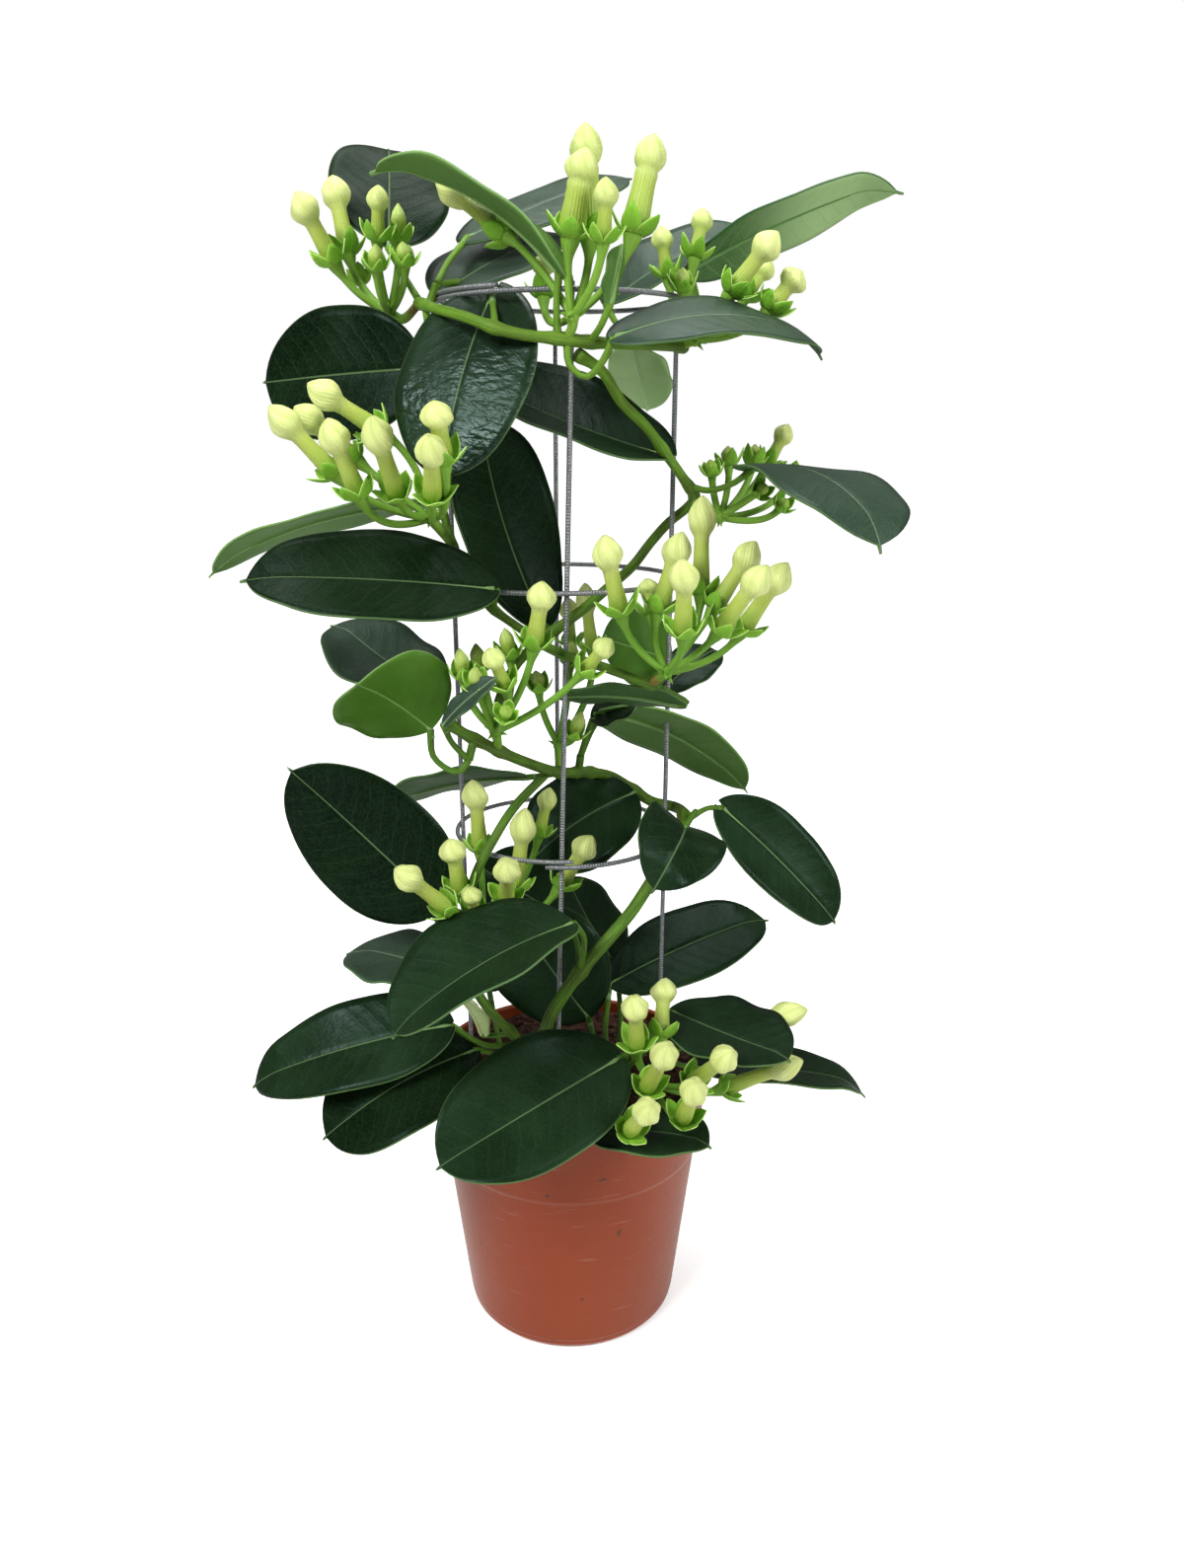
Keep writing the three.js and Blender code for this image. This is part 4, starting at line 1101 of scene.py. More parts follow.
@dataclass(frozen=True)
class Blade:
    """One leaf: its stalk, and where its midrib starts and ends.

    The face is the way that the upper side looks. The bow arches the midrib, the fold lifts the
    two halves, and the hook bends the tip down. The lobe and the notch draw the margin back at
    the base and out at the tip, and widest is the share of its length where it is widest.
    """

    stalk: tuple[Triple, ...]
    base: Triple
    tip: Triple
    width: float
    face: Triple
    bow: float = 0.0
    fold: float = 0.06
    hook: float = 0.0
    lobe: float = 0.03
    notch: float = 0.0
    widest: float = 0.5
    tone: Tone = Tone.DEEP
    wrinkles: float = 0.12
    blunt: float = 0.97
    hook_from: float = 0.82
    point_from: float = 0.88
    point_half: tuple[float, float] = (2.0, 0.2)
    stalk_radius: float = 1.2

    @property
    def length(self) -> float:
        """The distance from base to tip."""
        return (Vector(self.tip) - Vector(self.base)).length

    @property
    def out(self) -> Vector:
        """The way the blade faces, square to its length."""
        along = (Vector(self.tip) - Vector(self.base)).normalized()
        face = Vector(self.face)
        return (face - along * face.dot(along)).normalized()

    def midrib(self, t: float) -> Vector:
        """Gives the midrib's point at t, from 0 at the base to 1 at the tip."""
        start, end = Vector(self.base), Vector(self.tip)
        middle = start.lerp(end, 0.5) + self.out * (2.0 * self.bow * self.length)
        dip = self.hook * max(0.0, (t - self.hook_from) / (1.0 - self.hook_from)) ** 2
        return start * (1 - t) ** 2 + middle * (2 * t * (1 - t)) + end * (t * t) - self.out * dip

    def axes(self, t: float) -> tuple[Vector, Vector, Vector]:
        """Gives the ways ahead, aside and out of the blade at t."""
        ahead = (self.midrib(min(1.0, t + 0.01)) - self.midrib(max(0.0, t - 0.01))).normalized()
        side = ahead.cross(self.out).normalized()
        return ahead, side, side.cross(ahead)

    def half_width(self, t: float) -> float:
        """Gives half the width at t: blunt at the base and at the tip, with a small point."""
        along = min(1.0, t / self.blunt)
        room = self.widest if along < self.widest else 1.0 - self.widest
        u = (along - self.widest) / room
        swell = self.width / 2.0 * (1.0 - abs(u) ** 2.2) ** 0.55
        past = max(0.0, (t - self.point_from) / (1.0 - self.point_from))
        least = self.stalk_radius if t < 0.5 else lerp(*self.point_half, min(1.0, past))
        return math.hypot(swell, least)

    def point(self, t: float, s: float) -> tuple[Vector, Vector, float]:
        """Finds a point of the blade.

        Args:
            t: How far along, 0 to 1.
            s: How far across, from -1 to 1.

        Returns:
            The point, the way out of the blade there and how far from the midrib it is.
        """
        ahead, side, normal = self.axes(t)
        half = self.half_width(t)
        slip = self.length * s * s * (self.notch * t**4 - self.lobe * (1 - t) ** 4)
        place = self.midrib(t) + side * (s * half * (1.0 - 0.3 * self.fold**2))
        place += normal * (self.fold * half * abs(s) ** 1.5) + ahead * slip
        return place, normal, s * half


@dataclass(frozen=True)
class LeafGroup:
    """The leaves of one piece, with the fork that joins them."""

    name: str
    blades: tuple[Blade, ...]
    fork: tuple[Triple, ...] = ()


@dataclass(frozen=True)
class Foliage:
    """All the leaves, each with its own wave."""

    groups: tuple[LeafGroup, ...]
    thickness: float = 0.8
    rows: int = 40
    columns: int = 24
    groove: float = 0.45
    wave_count: tuple[float, float] = (1.6, 2.6)
    wave_height: tuple[float, float] = (0.5, 1.1)
    fork_radius: float = 1.75
    swelling: float = 0.3
    rib_end: float = 0.25
    rib_reach: float = 0.8
    sides: int = 8
    seed: int = 5

    @staticmethod
    def finishes(tone: Tone) -> tuple[bpy.types.Material, bpy.types.Material]:
        """Gives the two sides' materials.

        Args:
            tone: The leaf's tone.

        Returns:
            The upper side's and the underside's material.
        """
        uppers = {
            Tone.DEEP: BladeFinish("leaf_deep", roughness=0.33),
            Tone.GLOSSY: BladeFinish("leaf_glossy", roughness=0.33, specular=0.3),
            # Painted shade: a darker copy of the deep leaf, with less gloss, for leaves that lie in shade.
            Tone.DARK: BladeFinish(
                "leaf_dark_painted_shade", roughness=0.33, deep=(0.0015, 0.0055, 0.002), light=(0.006, 0.017, 0.0055),
                specular=0.06,
            ),
            Tone.FRESH: BladeFinish(
                "leaf_fresh", roughness=0.42, deep=(0.042, 0.12, 0.009), light=(0.075, 0.18, 0.017),
                vein=(0.08, 0.17, 0.03), midrib=(0.18, 0.31, 0.08), margin=(0.1, 0.19, 0.04), glow=0.1,
            ),
            # Painted sheen: a greyer, lighter copy of the leaf, whose grey stands in for the grey-blue gloss
            # of these leaves.
            Tone.GREY: BladeFinish(
                "leaf_grey_painted_sheen", roughness=0.42, deep=(0.02, 0.04, 0.024), light=(0.036, 0.064, 0.038),
                vein=(0.07, 0.11, 0.065), midrib=(0.17, 0.24, 0.14), margin=(0.08, 0.13, 0.07),
                specular=0.2,
            ),
            Tone.PALE: BladeFinish(
                "leaf_pale", roughness=0.45, deep=(0.3, 0.42, 0.14), light=(0.42, 0.52, 0.22),
                vein=(0.5, 0.6, 0.3), midrib=(0.55, 0.62, 0.32), margin=(0.5, 0.5, 0.26), glow=0.2,
            ),
        }
        unders = {
            Tone.DEEP: BladeFinish(
                "leaf_deep_under", roughness=0.5, deep=(0.035, 0.08, 0.025), light=(0.055, 0.115, 0.035),
                vein=(0.08, 0.16, 0.05), midrib=(0.2, 0.34, 0.12), margin=(0.1, 0.18, 0.06),
                midrib_half=0.7, relief=0.1, glow=0.1,
            ),
            Tone.FRESH: BladeFinish(
                "leaf_fresh_under", roughness=0.5, deep=(0.065, 0.15, 0.025), light=(0.1, 0.21, 0.045),
                vein=(0.13, 0.26, 0.07), midrib=(0.24, 0.4, 0.13), margin=(0.2, 0.34, 0.12),
                midrib_half=0.7, relief=0.1, glow=0.1,
            ),
            # Painted light: this underside is coloured far lighter than the others, as if lit from behind.
            Tone.LIT: BladeFinish(
                "leaf_lit_under", roughness=0.5, deep=(0.26, 0.42, 0.15), light=(0.4, 0.55, 0.27),
                vein=(0.36, 0.5, 0.26), midrib=(0.4, 0.54, 0.28), margin=(0.1, 0.2, 0.06),
                side_strength=0.3, midrib_half=0.7, relief=0.1, glow=0.2,
            ),
            # Painted shade and light: dark at the base, where the leaf lies in shade, and light over the far
            # half, as if lit from behind.
            Tone.HALF: BladeFinish(
                "leaf_half_lit_under", roughness=0.5, deep=(0.045, 0.12, 0.025), light=(0.33, 0.48, 0.21),
                vein=(0.2, 0.34, 0.13), midrib=(0.14, 0.27, 0.09), margin=(0.02, 0.06, 0.03),
                side_strength=0.3, midrib_half=0.5, relief=0.1, glow=0.2, reach=60.0,
            ),
        }
        unders[Tone.PALE] = uppers[Tone.PALE]
        upper = uppers.get(tone, uppers[Tone.FRESH])
        return upper.material(), unders.get(tone, unders[Tone.DEEP]).material()

    def build(self) -> list[bpy.types.Object]:
        """Grows each group of leaves."""
        made = []
        stalk = StemFinish("leaf_stalk", roughness=0.5, browning=0.12).material()
        for index, group in enumerate(self.groups):
            draw = random.Random(self.seed * 1000 + index)
            tones = list(dict.fromkeys(blade.tone for blade in group.blades))
            shaping = Shaping()
            for blade in group.blades:
                finish = 1 + 2 * tones.index(blade.tone)
                self._blade(shaping, blade, draw, finish)
                self._stalk(shaping, blade, finish + 1)
            if group.fork:
                shaping.tube(Route(group.fork), lambda share: self.fork_radius, 6, 10, 0)
            finishes = [stalk, *(side for tone in tones for side in self.finishes(tone))]
            made.append(shaping.publish(f"fine_{group.name}", finishes, [group.name]))
        return made

    def _blade(self, shaping: Shaping, blade: Blade, draw: random.Random, finish: int) -> None:
        """Bends a grid to the blade's form and gives it a thickness.

        Args:
            shaping: The mesh to add it to.
            blade: The leaf.
            draw: What its wave is drawn from.
            finish: The upper side's material slot; the underside's comes next.
        """
        bm = shaping.bm
        old = set(bm.faces)
        luck = draw.random()
        waves, phase = draw.uniform(*self.wave_count), draw.uniform(0.0, TURN)
        lift = draw.uniform(*self.wave_height)
        grid = bmesh.ops.create_grid(bm, x_segments=self.rows, y_segments=self.columns, size=0.5)
        for vert in grid["verts"]:
            t = (1.0 - math.cos(math.pi * min(max(vert.co.x + 0.5, 0.0), 1.0))) / 2.0
            v = -2.0 * vert.co.y
            s = 0.45 * v + 0.55 * v**3
            place, normal, across = blade.point(t, s)
            wave = lift * s * s * math.sin(TURN * waves * t + phase + (0.9 if s > 0 else 0.0))
            wave *= min(1.0, t * 5.0, (1.0 - t) * 5.0)
            rough = noise.noise(place * 0.07) * 0.5 * abs(s)
            sink = self.groove * math.exp(-(across**2)) * min(1.0, (1.0 - t) * 6.0)
            vert.co = place + normal * (wave + rough - sink + self.thickness / 2.0)
            vert[shaping.blade] = (t * blade.length, across, abs(s))
            vert[shaping.tone] = (luck, blade.wrinkles, 0.0)
        upper = [face for face in bm.faces if face not in old]
        bmesh.ops.recalc_face_normals(bm, faces=upper)
        bm.normal_update()
        middle = min(upper, key=lambda f: (f.calc_center_median() - blade.midrib(0.5)).length)
        if middle.normal.dot(blade.axes(0.5)[2]) < 0:
            bmesh.ops.reverse_faces(bm, faces=upper)
        edges = list({edge for face in upper for edge in face.edges})
        verts = list({vert for face in upper for vert in face.verts})
        bm.normal_update()
        bmesh.ops.solidify(bm, geom=upper + edges + verts, thickness=self.thickness)
        kept = set(upper)
        shaping.finish_faces(upper, finish)
        shaping.finish_faces([f for f in bm.faces if f not in old and f not in kept], finish + 1)

    def _stalk(self, shaping: Shaping, blade: Blade, under: int) -> None:
        """Draws the stalk, thick at both ends, and the raised rib below the blade.

        Args:
            shaping: The mesh to add them to.
            blade: The leaf.
            under: The underside's material slot.
        """
        thick = blade.stalk_radius
        rib = []
        for share in (0.0, 0.05, 0.125, 0.25, 0.5, 0.75, 1.0):
            t = self.rib_reach * share
            depth = max(lerp(thick, 0.05, share**0.6), 0.55 * self.thickness + self.groove)
            rib.append(blade.midrib(t) - blade.axes(t)[2] * lerp(0.2, depth, min(1.0, t * 20.0)))
        stalk = Route([*(Vector(point) for point in blade.stalk), rib[0]])
        steps = max(10, round(stalk.length / 2.5))
        shaping.tube(
            stalk, lambda share: thick + self.swelling * (2.0 * share - 1.0) ** 2, steps, self.sides, 0
        )
        rib.insert(0, rib[0].lerp(Vector(blade.stalk[-1]), 0.3))
        shaping.tube(
            Route(rib), lambda share: lerp(thick + 0.2, self.rib_end, share**0.6), 20, self.sides, under
        )


# ------------------------------------------------------------------ umbels
@dataclass(frozen=True)
class Size:
    """The widths of a bud's parts, and the head's share of its length."""

    head: float
    throat: float
    cup: float
    sepal_out: float
    sepal_up: float
    head_share: float
    ripeness: float
    sepal_half: float


class Grade(Enum):
    """How far a bud has grown."""

    PLUMP = Size(5.4, 4.2, 3.8, 8.2, 7.8, 0.36, 0.72, 3.6)
    LARGE = Size(5.4, 3.1, 3.1, 7.4, 7.2, 0.38, 1.0, 3.2)
    MEDIUM = Size(4.1, 2.5, 2.7, 6.4, 6.4, 0.42, 0.75, 2.5)
    SMALL = Size(2.9, 1.9, 2.3, 5.3, 6.2, 0.5, 0.45, 2.5)
    GREEN = Size(2.4, 1.5, 2.0, 4.5, 5.4, 0.5, 0.1, 2.1)


@dataclass(frozen=True)
class Bud:
    """One bud: where its calyx and its tip are, and its grade."""

    calyx: Triple
    tip: Triple
    grade: Grade

    @property
    def length(self) -> float:
        """The distance from calyx to tip."""
        return (Vector(self.tip) - Vector(self.calyx)).length

    def frame(self) -> Matrix:
        """Gives the matrix whose Z runs from the calyx to the tip."""
        axis = (Vector(self.tip) - Vector(self.calyx)).normalized()
        across = UP.cross(axis)
        across = RIGHT if across.length_squared < 0.01 else across.normalized()
        turned = Matrix((across, axis.cross(across), axis)).transposed().to_4x4()
        return Matrix.Translation(self.calyx) @ turned

    def profile(self) -> list[tuple[float, float, float]]:
        """Lays out the corolla.

        Returns:
            At each level its radius, its height and how far it is from calyx to tip.
        """
        size = self.grade.value
        if self.grade in (Grade.SMALL, Grade.GREEN):
            shape = (
                (0.0, 0.6), (0.15, 0.68), (0.3, 0.84), (0.42, 0.95), (0.53, 1.0), (0.64, 0.95),
                (0.75, 0.78), (0.85, 0.54), (0.93, 0.3), (0.98, 0.13), (1.0, 0.0),
            )
            return [(size.head * r, self.length * share, share) for share, r in shape]
        neck = 1.0 - size.head_share
        tube = ((0.02, 1.1), (0.18, 1.14), (0.4, 1.06), (0.62, 0.97), (0.82, 0.93), (0.94, 0.97))
        head = (
            (0.0, 0.7), (0.06, 0.79), (0.14, 0.9), (0.22, 0.965), (0.31, 0.995), (0.4, 1.0),
            (0.5, 0.955), (0.6, 0.86), (0.7, 0.73), (0.79, 0.58), (0.87, 0.41), (0.93, 0.26),
            (0.97, 0.14), (1.0, 0.0),
        )
        made = [(0.0, 0.0, 0.0)]
        made += [(size.throat * r, self.length * neck * share, neck * share) for share, r in tube]
        for share, r in head:
            level = neck + (1.0 - neck) * share
            made.append((size.head * r, self.length * level, level))
        return made


@dataclass(frozen=True)
class Umbel:
    """Buds on stalks from one hub, which a thicker stalk joins to the stem."""

    name: str
    root: tuple[Triple, ...]
    hub: Triple
    buds: tuple[Bud, ...]


@dataclass(frozen=True)
class Umbels:
    """All the groups of buds."""

    groups: tuple[Umbel, ...]
    rusty: tuple[str, ...]
    steps: int = 25
    sepals: int = 5
    bracts: int = 6
    stalk_radius: float = 1.4
    hub_radius: float = 2.6
    peduncle_radius: float = 1.7
    rust: tuple[float, float] = (0.15, 0.8)
    bract_length: float = 3.4
    bract_lean: tuple[float, float] = (1.0, 1.5)
    knee: float = 0.45
    lobing: float = 0.08
    head_twist: float = 0.9
    head_lean: float = 1.1
    sepal_thickness: float = 0.4
    seed: int = 9

    def build(self) -> list[bpy.types.Object]:
        """Grows each group of buds."""
        finishes = [
            BudFinish("bud_wax", roughness=0.42).material(),
            BladeFinish(
                "sepal", roughness=0.5, deep=(0.12, 0.31, 0.018), light=(0.25, 0.5, 0.045),
                vein=(0.28, 0.5, 0.07), midrib=(0.2, 0.42, 0.05), margin=(0.5, 0.7, 0.22),
                spacing=3.0, midrib_half=0.25, relief=0.08, pucker=0.2, glow=0.15,
            ).material(),
            StemFinish(
                "flower_stalk", roughness=0.5, green=(0.12, 0.3, 0.025), pale=(0.22, 0.42, 0.05),
                brown=(0.22, 0.09, 0.04), browning=0.05,
            ).material(),
        ]
        made = []
        for index, umbel in enumerate(self.groups):
            draw = random.Random(self.seed * 1000 + index)
            shaping = Shaping()
            self._hub(shaping, umbel, draw)
            for bud in umbel.buds:
                self._stalk(shaping, umbel, bud)
                self._corolla(shaping, bud, draw)
                self._calyx(shaping, bud, draw)
            made.append(shaping.publish(f"fine_{umbel.name}", finishes, [umbel.name]))
        return made

    def _hub(self, shaping: Shaping, umbel: Umbel, draw: random.Random) -> None:
        """Adds the thick stalk, the knob at its end and the small bracts round it."""
        young, old = self.rust
        rust = old if umbel.name in self.rusty else young
        route = Route((*umbel.root, umbel.hub))
        shaping.tube(
            route, lambda share: self.peduncle_radius * (1.0 + 0.35 * share**3), 14, 10, 2, (0.0, 0.0, rust)
        )
        knob = bmesh.ops.create_icosphere(
            shaping.bm, subdivisions=2, radius=self.hub_radius, matrix=Matrix.Translation(umbel.hub)
        )["verts"]
        shaping.finish_faces({face for vert in knob for face in vert.link_faces}, 2)
        away = (Vector(umbel.hub) - Vector(umbel.root[-1])).normalized()
        seat = Matrix.Translation(umbel.hub) @ away.to_track_quat("Z", "Y").to_matrix().to_4x4()
        for k in range(self.bracts):
            spin = Matrix.Rotation((k + draw.random() * 0.6) / self.bracts * TURN, 4, "Z")
            lean = Matrix.Rotation(draw.uniform(*self.bract_lean), 4, "X")
            outward = Matrix.Translation((0.0, 0.0, self.hub_radius + 0.9))
            tip = bmesh.ops.create_cone(
                shaping.bm, cap_ends=True, segments=6, radius1=1.0, radius2=0.08,
                depth=self.bract_length, matrix=seat @ spin @ lean @ outward,
            )["verts"]
            shaping.finish_faces({face for vert in tip for face in vert.link_faces}, 2)

    def _stalk(self, shaping: Shaping, umbel: Umbel, bud: Bud) -> None:
        """Draws one flower stalk, which widens into the cup."""
        hub, seat = Vector(umbel.hub), Vector(bud.calyx)
        axis = (Vector(bud.tip) - seat).normalized()
        reach = (seat - hub).length
        knee = seat - axis * (self.knee * reach)
        points = []
        for t in (0, 0.2, 0.4, 0.6, 0.8, 1):
            points.append(hub * (1 - t) ** 2 + knee * (2 * t * (1 - t)) + seat * t * t)
        points.append(seat + axis * 1.6)
        route = Route(points)
        cup = bud.grade.value.cup

        def radius(share: float) -> float:
            """Gives the stalk's radius: even, then swelling to the cup."""
            left = (1.0 - share) * route.length
            swell = max(0.0, 1.0 - left / (2.6 * cup))
            return lerp(self.stalk_radius, cup, swell * swell * (3.0 - 2.0 * swell))

        shaping.tube(route, radius, max(14, round(route.length / 1.6)), 10, 2)

    def _corolla(self, shaping: Shaping, bud: Bud, draw: random.Random) -> None:
        """Spins the tube and the head, and draws in the five lobes."""
        levels = bud.profile()
        verts = spun(shaping, [(radius, height) for radius, height, _ in levels], self.steps)
        twist, lean = draw.uniform(0.0, TURN), draw.uniform(-self.head_lean, self.head_lean)
        neck = 1.0 - bud.grade.value.head_share
        for vert in verts:
            share = vert.co.z / bud.length
            angle = math.atan2(vert.co.y, vert.co.x)
            swell = max(0.0, (share - neck) / (1.0 - neck))
            turned = angle + twist + self.head_twist * swell
            lobed = 1.0 + self.lobing * math.cos(5.0 * turned) * min(1.0, swell * 3.0)
            vert.co.x *= lobed
            vert.co.y *= lobed
            vert.co.x += lean * swell**1.5
            vert[shaping.run] = (math.cos(turned), math.sin(turned), share)
            vert[shaping.tone] = (0.0, bud.grade.value.ripeness, 0.0)
        bmesh.ops.transform(shaping.bm, matrix=bud.frame(), verts=verts)
        shaping.finish_faces({face for vert in verts for face in vert.link_faces}, 0)

    def _calyx(self, shaping: Shaping, bud: Bud, draw: random.Random) -> None:
        """Sets the five sepals round the cup."""
        bm, size = shaping.bm, bud.grade.value
        for k in range(self.sepals):
            old = set(bm.faces)
            out = size.sepal_out * draw.uniform(0.95, 1.2)
            up = size.sepal_up * draw.uniform(0.85, 1.2)
            luck = draw.random()
            spin = Matrix.Rotation(k / self.sepals * TURN + draw.uniform(-0.12, 0.12), 4, "Z")
            grid = bmesh.ops.create_grid(bm, x_segments=5, y_segments=4, size=0.5)["verts"]
            for vert in grid:
                t, s = vert.co.x + 0.5, vert.co.y * 2.0
                half = size.sepal_half * (1.0 - max(0.0, (t - 0.35) / 0.65) ** 2) ** 0.8 + 0.1
                half *= min(1.0, 0.62 + 1.3 * t)
                across = s * half
                far = size.cup * 0.72 * (1 - t) ** 2 + (size.cup + 2.4) * 2 * t * (1 - t) + out * t * t
                high = 0.1 * (1 - t) ** 2 + 0.9 * 2 * t * (1 - t) + up * t * t
                cupped = 0.35 * abs(s) ** 2 * half * 0.5
                vert.co = Vector((far - cupped * 0.6, across, high + cupped))
                vert[shaping.blade] = (t * (out + up), across, abs(s))
                vert[shaping.tone] = (luck, 0.0, 0.0)
            bmesh.ops.transform(bm, matrix=bud.frame() @ spin, verts=grid)
            faces = [face for face in bm.faces if face not in old]
            edges = list({edge for face in faces for edge in face.edges})
            bm.normal_update()
            bmesh.ops.solidify(bm, geom=faces + edges + list(grid), thickness=self.sepal_thickness)
            shaping.finish_faces([face for face in bm.faces if face not in old], 1)


# ------------------------------------------------------------------ studio
@dataclass(frozen=True)
class Softbox:
    """A square area light that looks at a point."""

    name: str
    place: Triple
    target: Triple
    size: float
    power: float


@dataclass(frozen=True)
class Studio:
    """The pale floor, the lights and the camera. Lengths are metres."""

    lights: tuple[Softbox, ...]
    lens: float = 27.787
    sensor: float = 36.0
    camera_place: Triple = (0.00986, -0.5088, 0.4047)
    camera_pitch: float = 0.28371
    backdrop: float = 1.0
    glow_range: tuple[float, float] = (-0.5, 0.9)
    height_share: float = 0.7
    ambient_front: float = 0.08
    ambient_back: float = 0.18
    floor_size: float = 40.0
    floor_gap: float = 0.0002
    clip: tuple[float, float] = (0.01, 100.0)

    def build(self) -> None:
        """Sets up the whole stage."""
        scene = bpy.context.scene
        scene.view_settings.view_transform = "Standard"
        self._floor()
        self._sky(scene)
        for light in self.lights:
            self._light(light)
        lens = bpy.data.cameras.new("camera")
        lens.lens, lens.sensor_width, lens.sensor_fit = self.lens, self.sensor, "AUTO"
        lens.clip_start, lens.clip_end = self.clip
        camera = bpy.data.objects.new("camera", lens)
        camera.location = self.camera_place
        camera.rotation_euler = (math.pi / 2.0 - self.camera_pitch, 0.0, 0.0)
        scene.collection.objects.link(camera)
        scene.camera = camera

    def _floor(self) -> None:
        """Lays the floor just below the pot."""
        bm = bmesh.new()
        bmesh.ops.create_grid(bm, x_segments=1, y_segments=1, size=self.floor_size / 2.0)
        mesh = bpy.data.meshes.new("floor")
        mesh.materials.append(StageFinish("floor_pale", roughness=0.9).material())
        bm.to_mesh(mesh)
        bm.free()
        floor = bpy.data.objects.new("floor", mesh)
        floor.location.z = -self.floor_gap
        bpy.context.scene.collection.objects.link(floor)

    def _sky(self, scene: bpy.types.Scene) -> None:
        """Makes the backdrop white to the camera, and dimmer as a light."""
        world = bpy.data.worlds.new("studio")
        world.use_nodes = True
        scene.world = world
        w = Wiring(world.node_tree)
        background = world.node_tree.nodes["Background"]
        seen = w.add("ShaderNodeLightPath").outputs["Is Camera Ray"]
        _, behind, above = w.split(w.add("ShaderNodeTexCoord").outputs["Generated"])
        bright = w.math("ADD", behind, w.math("MULTIPLY", above, self.height_share))
        glow = w.fade(bright, *self.glow_range, self.ambient_front, self.ambient_back)
        shown = w.add("ShaderNodeMix", data_type="FLOAT")
        for socket, value in zip(shown.inputs, (seen, None, glow, self.backdrop)):
            if value is not None:
                w.feed(socket, value)
        w.feed(background.inputs["Strength"], shown.outputs[0])
        background.inputs["Color"].default_value = (1.0, 1.0, 1.0, 1.0)

    def _light(self, box: Softbox) -> None:
        """Hangs one softbox.

        Args:
            box: The softbox.
        """
        lamp = bpy.data.lights.new(box.name, "AREA")
        lamp.shape, lamp.size, lamp.energy = "SQUARE", box.size, box.power
        holder = bpy.data.objects.new(box.name, lamp)
        holder.location = box.place
        aim = Vector(box.target) - Vector(box.place)
        holder.rotation_euler = aim.to_track_quat("-Z", "Y").to_euler()
        bpy.context.scene.collection.objects.link(holder)


# ------------------------------------------------------------------ the plant's own places
LIGHTS = (
    Softbox("key", (-0.7, -1.0, 1.3), (0.0, 0.0, 0.25), 0.6, 25.0),
    Softbox("fill", (1.0, -0.6, 0.8), (0.0, 0.0, 0.25), 0.5, 9.0),
    Softbox("top", (0.0, 0.2, 1.4), (0.0, 0.0, 0.3), 0.8, 10.0),
)
RINGS = (
    Ring("trellis_ring_top", height=452.5, radius=48.7, start=178, overlap=66),
    Ring("trellis_ring_middle", height=345, radius=47.6, start=200, overlap=14),
    Ring("trellis_ring_bottom", height=234.5, radius=46.8, start=262, overlap=14),
)
UPRIGHTS = (
    ("trellis_upright_front", (3, -45.6, 456), (-7, -42.8, 56)),
    ("trellis_upright_right", (43.3, 0, 456), (40.8, 0, 56)),
    ("trellis_upright_back", (-6, 45.6, 456), (-7, 42.8, 56)),
    ("trellis_upright_left", (-48.6, 0, 456), (-46, 0, 56)),
)
STEMS = (
    Stem("vine_lower", (
        Shoot((2.9, 2.1), (
            (-17, -33, 96), (-13, -44, 140), (-8, -54, 170), (-2, -55, 182), (5, -54, 192),
            (20, -50, 209), (26, -48, 216), (34, -41, 226), (41, -30, 233), (47, -16, 239),
            (50, -3, 243), (47, 9, 243), (37, 14, 244), (29, 18, 248), (19, 16, 255), (9, 6, 260),
            (-5, -22, 268), (-18, -38, 277), (-29, -48, 285), (-40, -52, 292), (-47, -52, 297),
        )),
        Shoot((2.2, 1.9), (
            (-30, -22, 96), (-22, -38, 150), (-31, -50, 170), (-37, -54, 182), (-41, -53, 196),
            (-41, -50, 214), (-38, -46, 230), (-30, -40, 245), (-22, -32, 256), (-9, -24, 268),
        )),
    )),
    Stem("vine_middle", (
        Shoot((2, 2), (
            (-29, -44, 290), (-27, -38, 302), (-20, -34, 316), (-11, -38, 325), (-5, -40, 330),
            (5, -38, 337), (17, -28, 346), (26, -14, 352), (35, 3, 361), (42, 8, 368), (49, 5, 374),
            (51.5, -3, 379), (46, -10, 387), (37.5, -15, 398), (31, -22, 406), (21, -34, 415),
            (13, -46, 426), (4.5, -51.5, 431),
        )),
        Shoot((1.9, 1.9), (
            (-11, -38, 325), (0, -50, 322), (12, -53, 319), (25, -51, 314), (34, -47, 310),
        )),
    )),
    Stem("vine_left", (
        Shoot((1.7, 1.5), (
            (-14, -39, 328), (-19, -42, 332), (-29, -44, 340), (-38, -40, 351), (-44, -32, 362),
            (-49, -20, 374), (-52, -12, 385), (-53, -12, 394),
        )),
    )),
    Stem("vine_top", (
        Shoot((1.9, 2.1), (
            (-57, -7, 452), (-54, -22, 450.5), (-45.5, -39, 447), (-35, -52, 443.5),
            (-24.5, -58, 439.5), (-14, -58.5, 437), (-1, -55, 436), (10, -52, 435), (28, -42, 435),
            (45, -14, 436),
        )),
    )),
    Stem("vine_right", (
        Shoot((2.3, 1.8), (
            (15, -28, 96), (19, -42, 134), (26, -52, 150), (36, -50, 158),
        )),
    )),
)
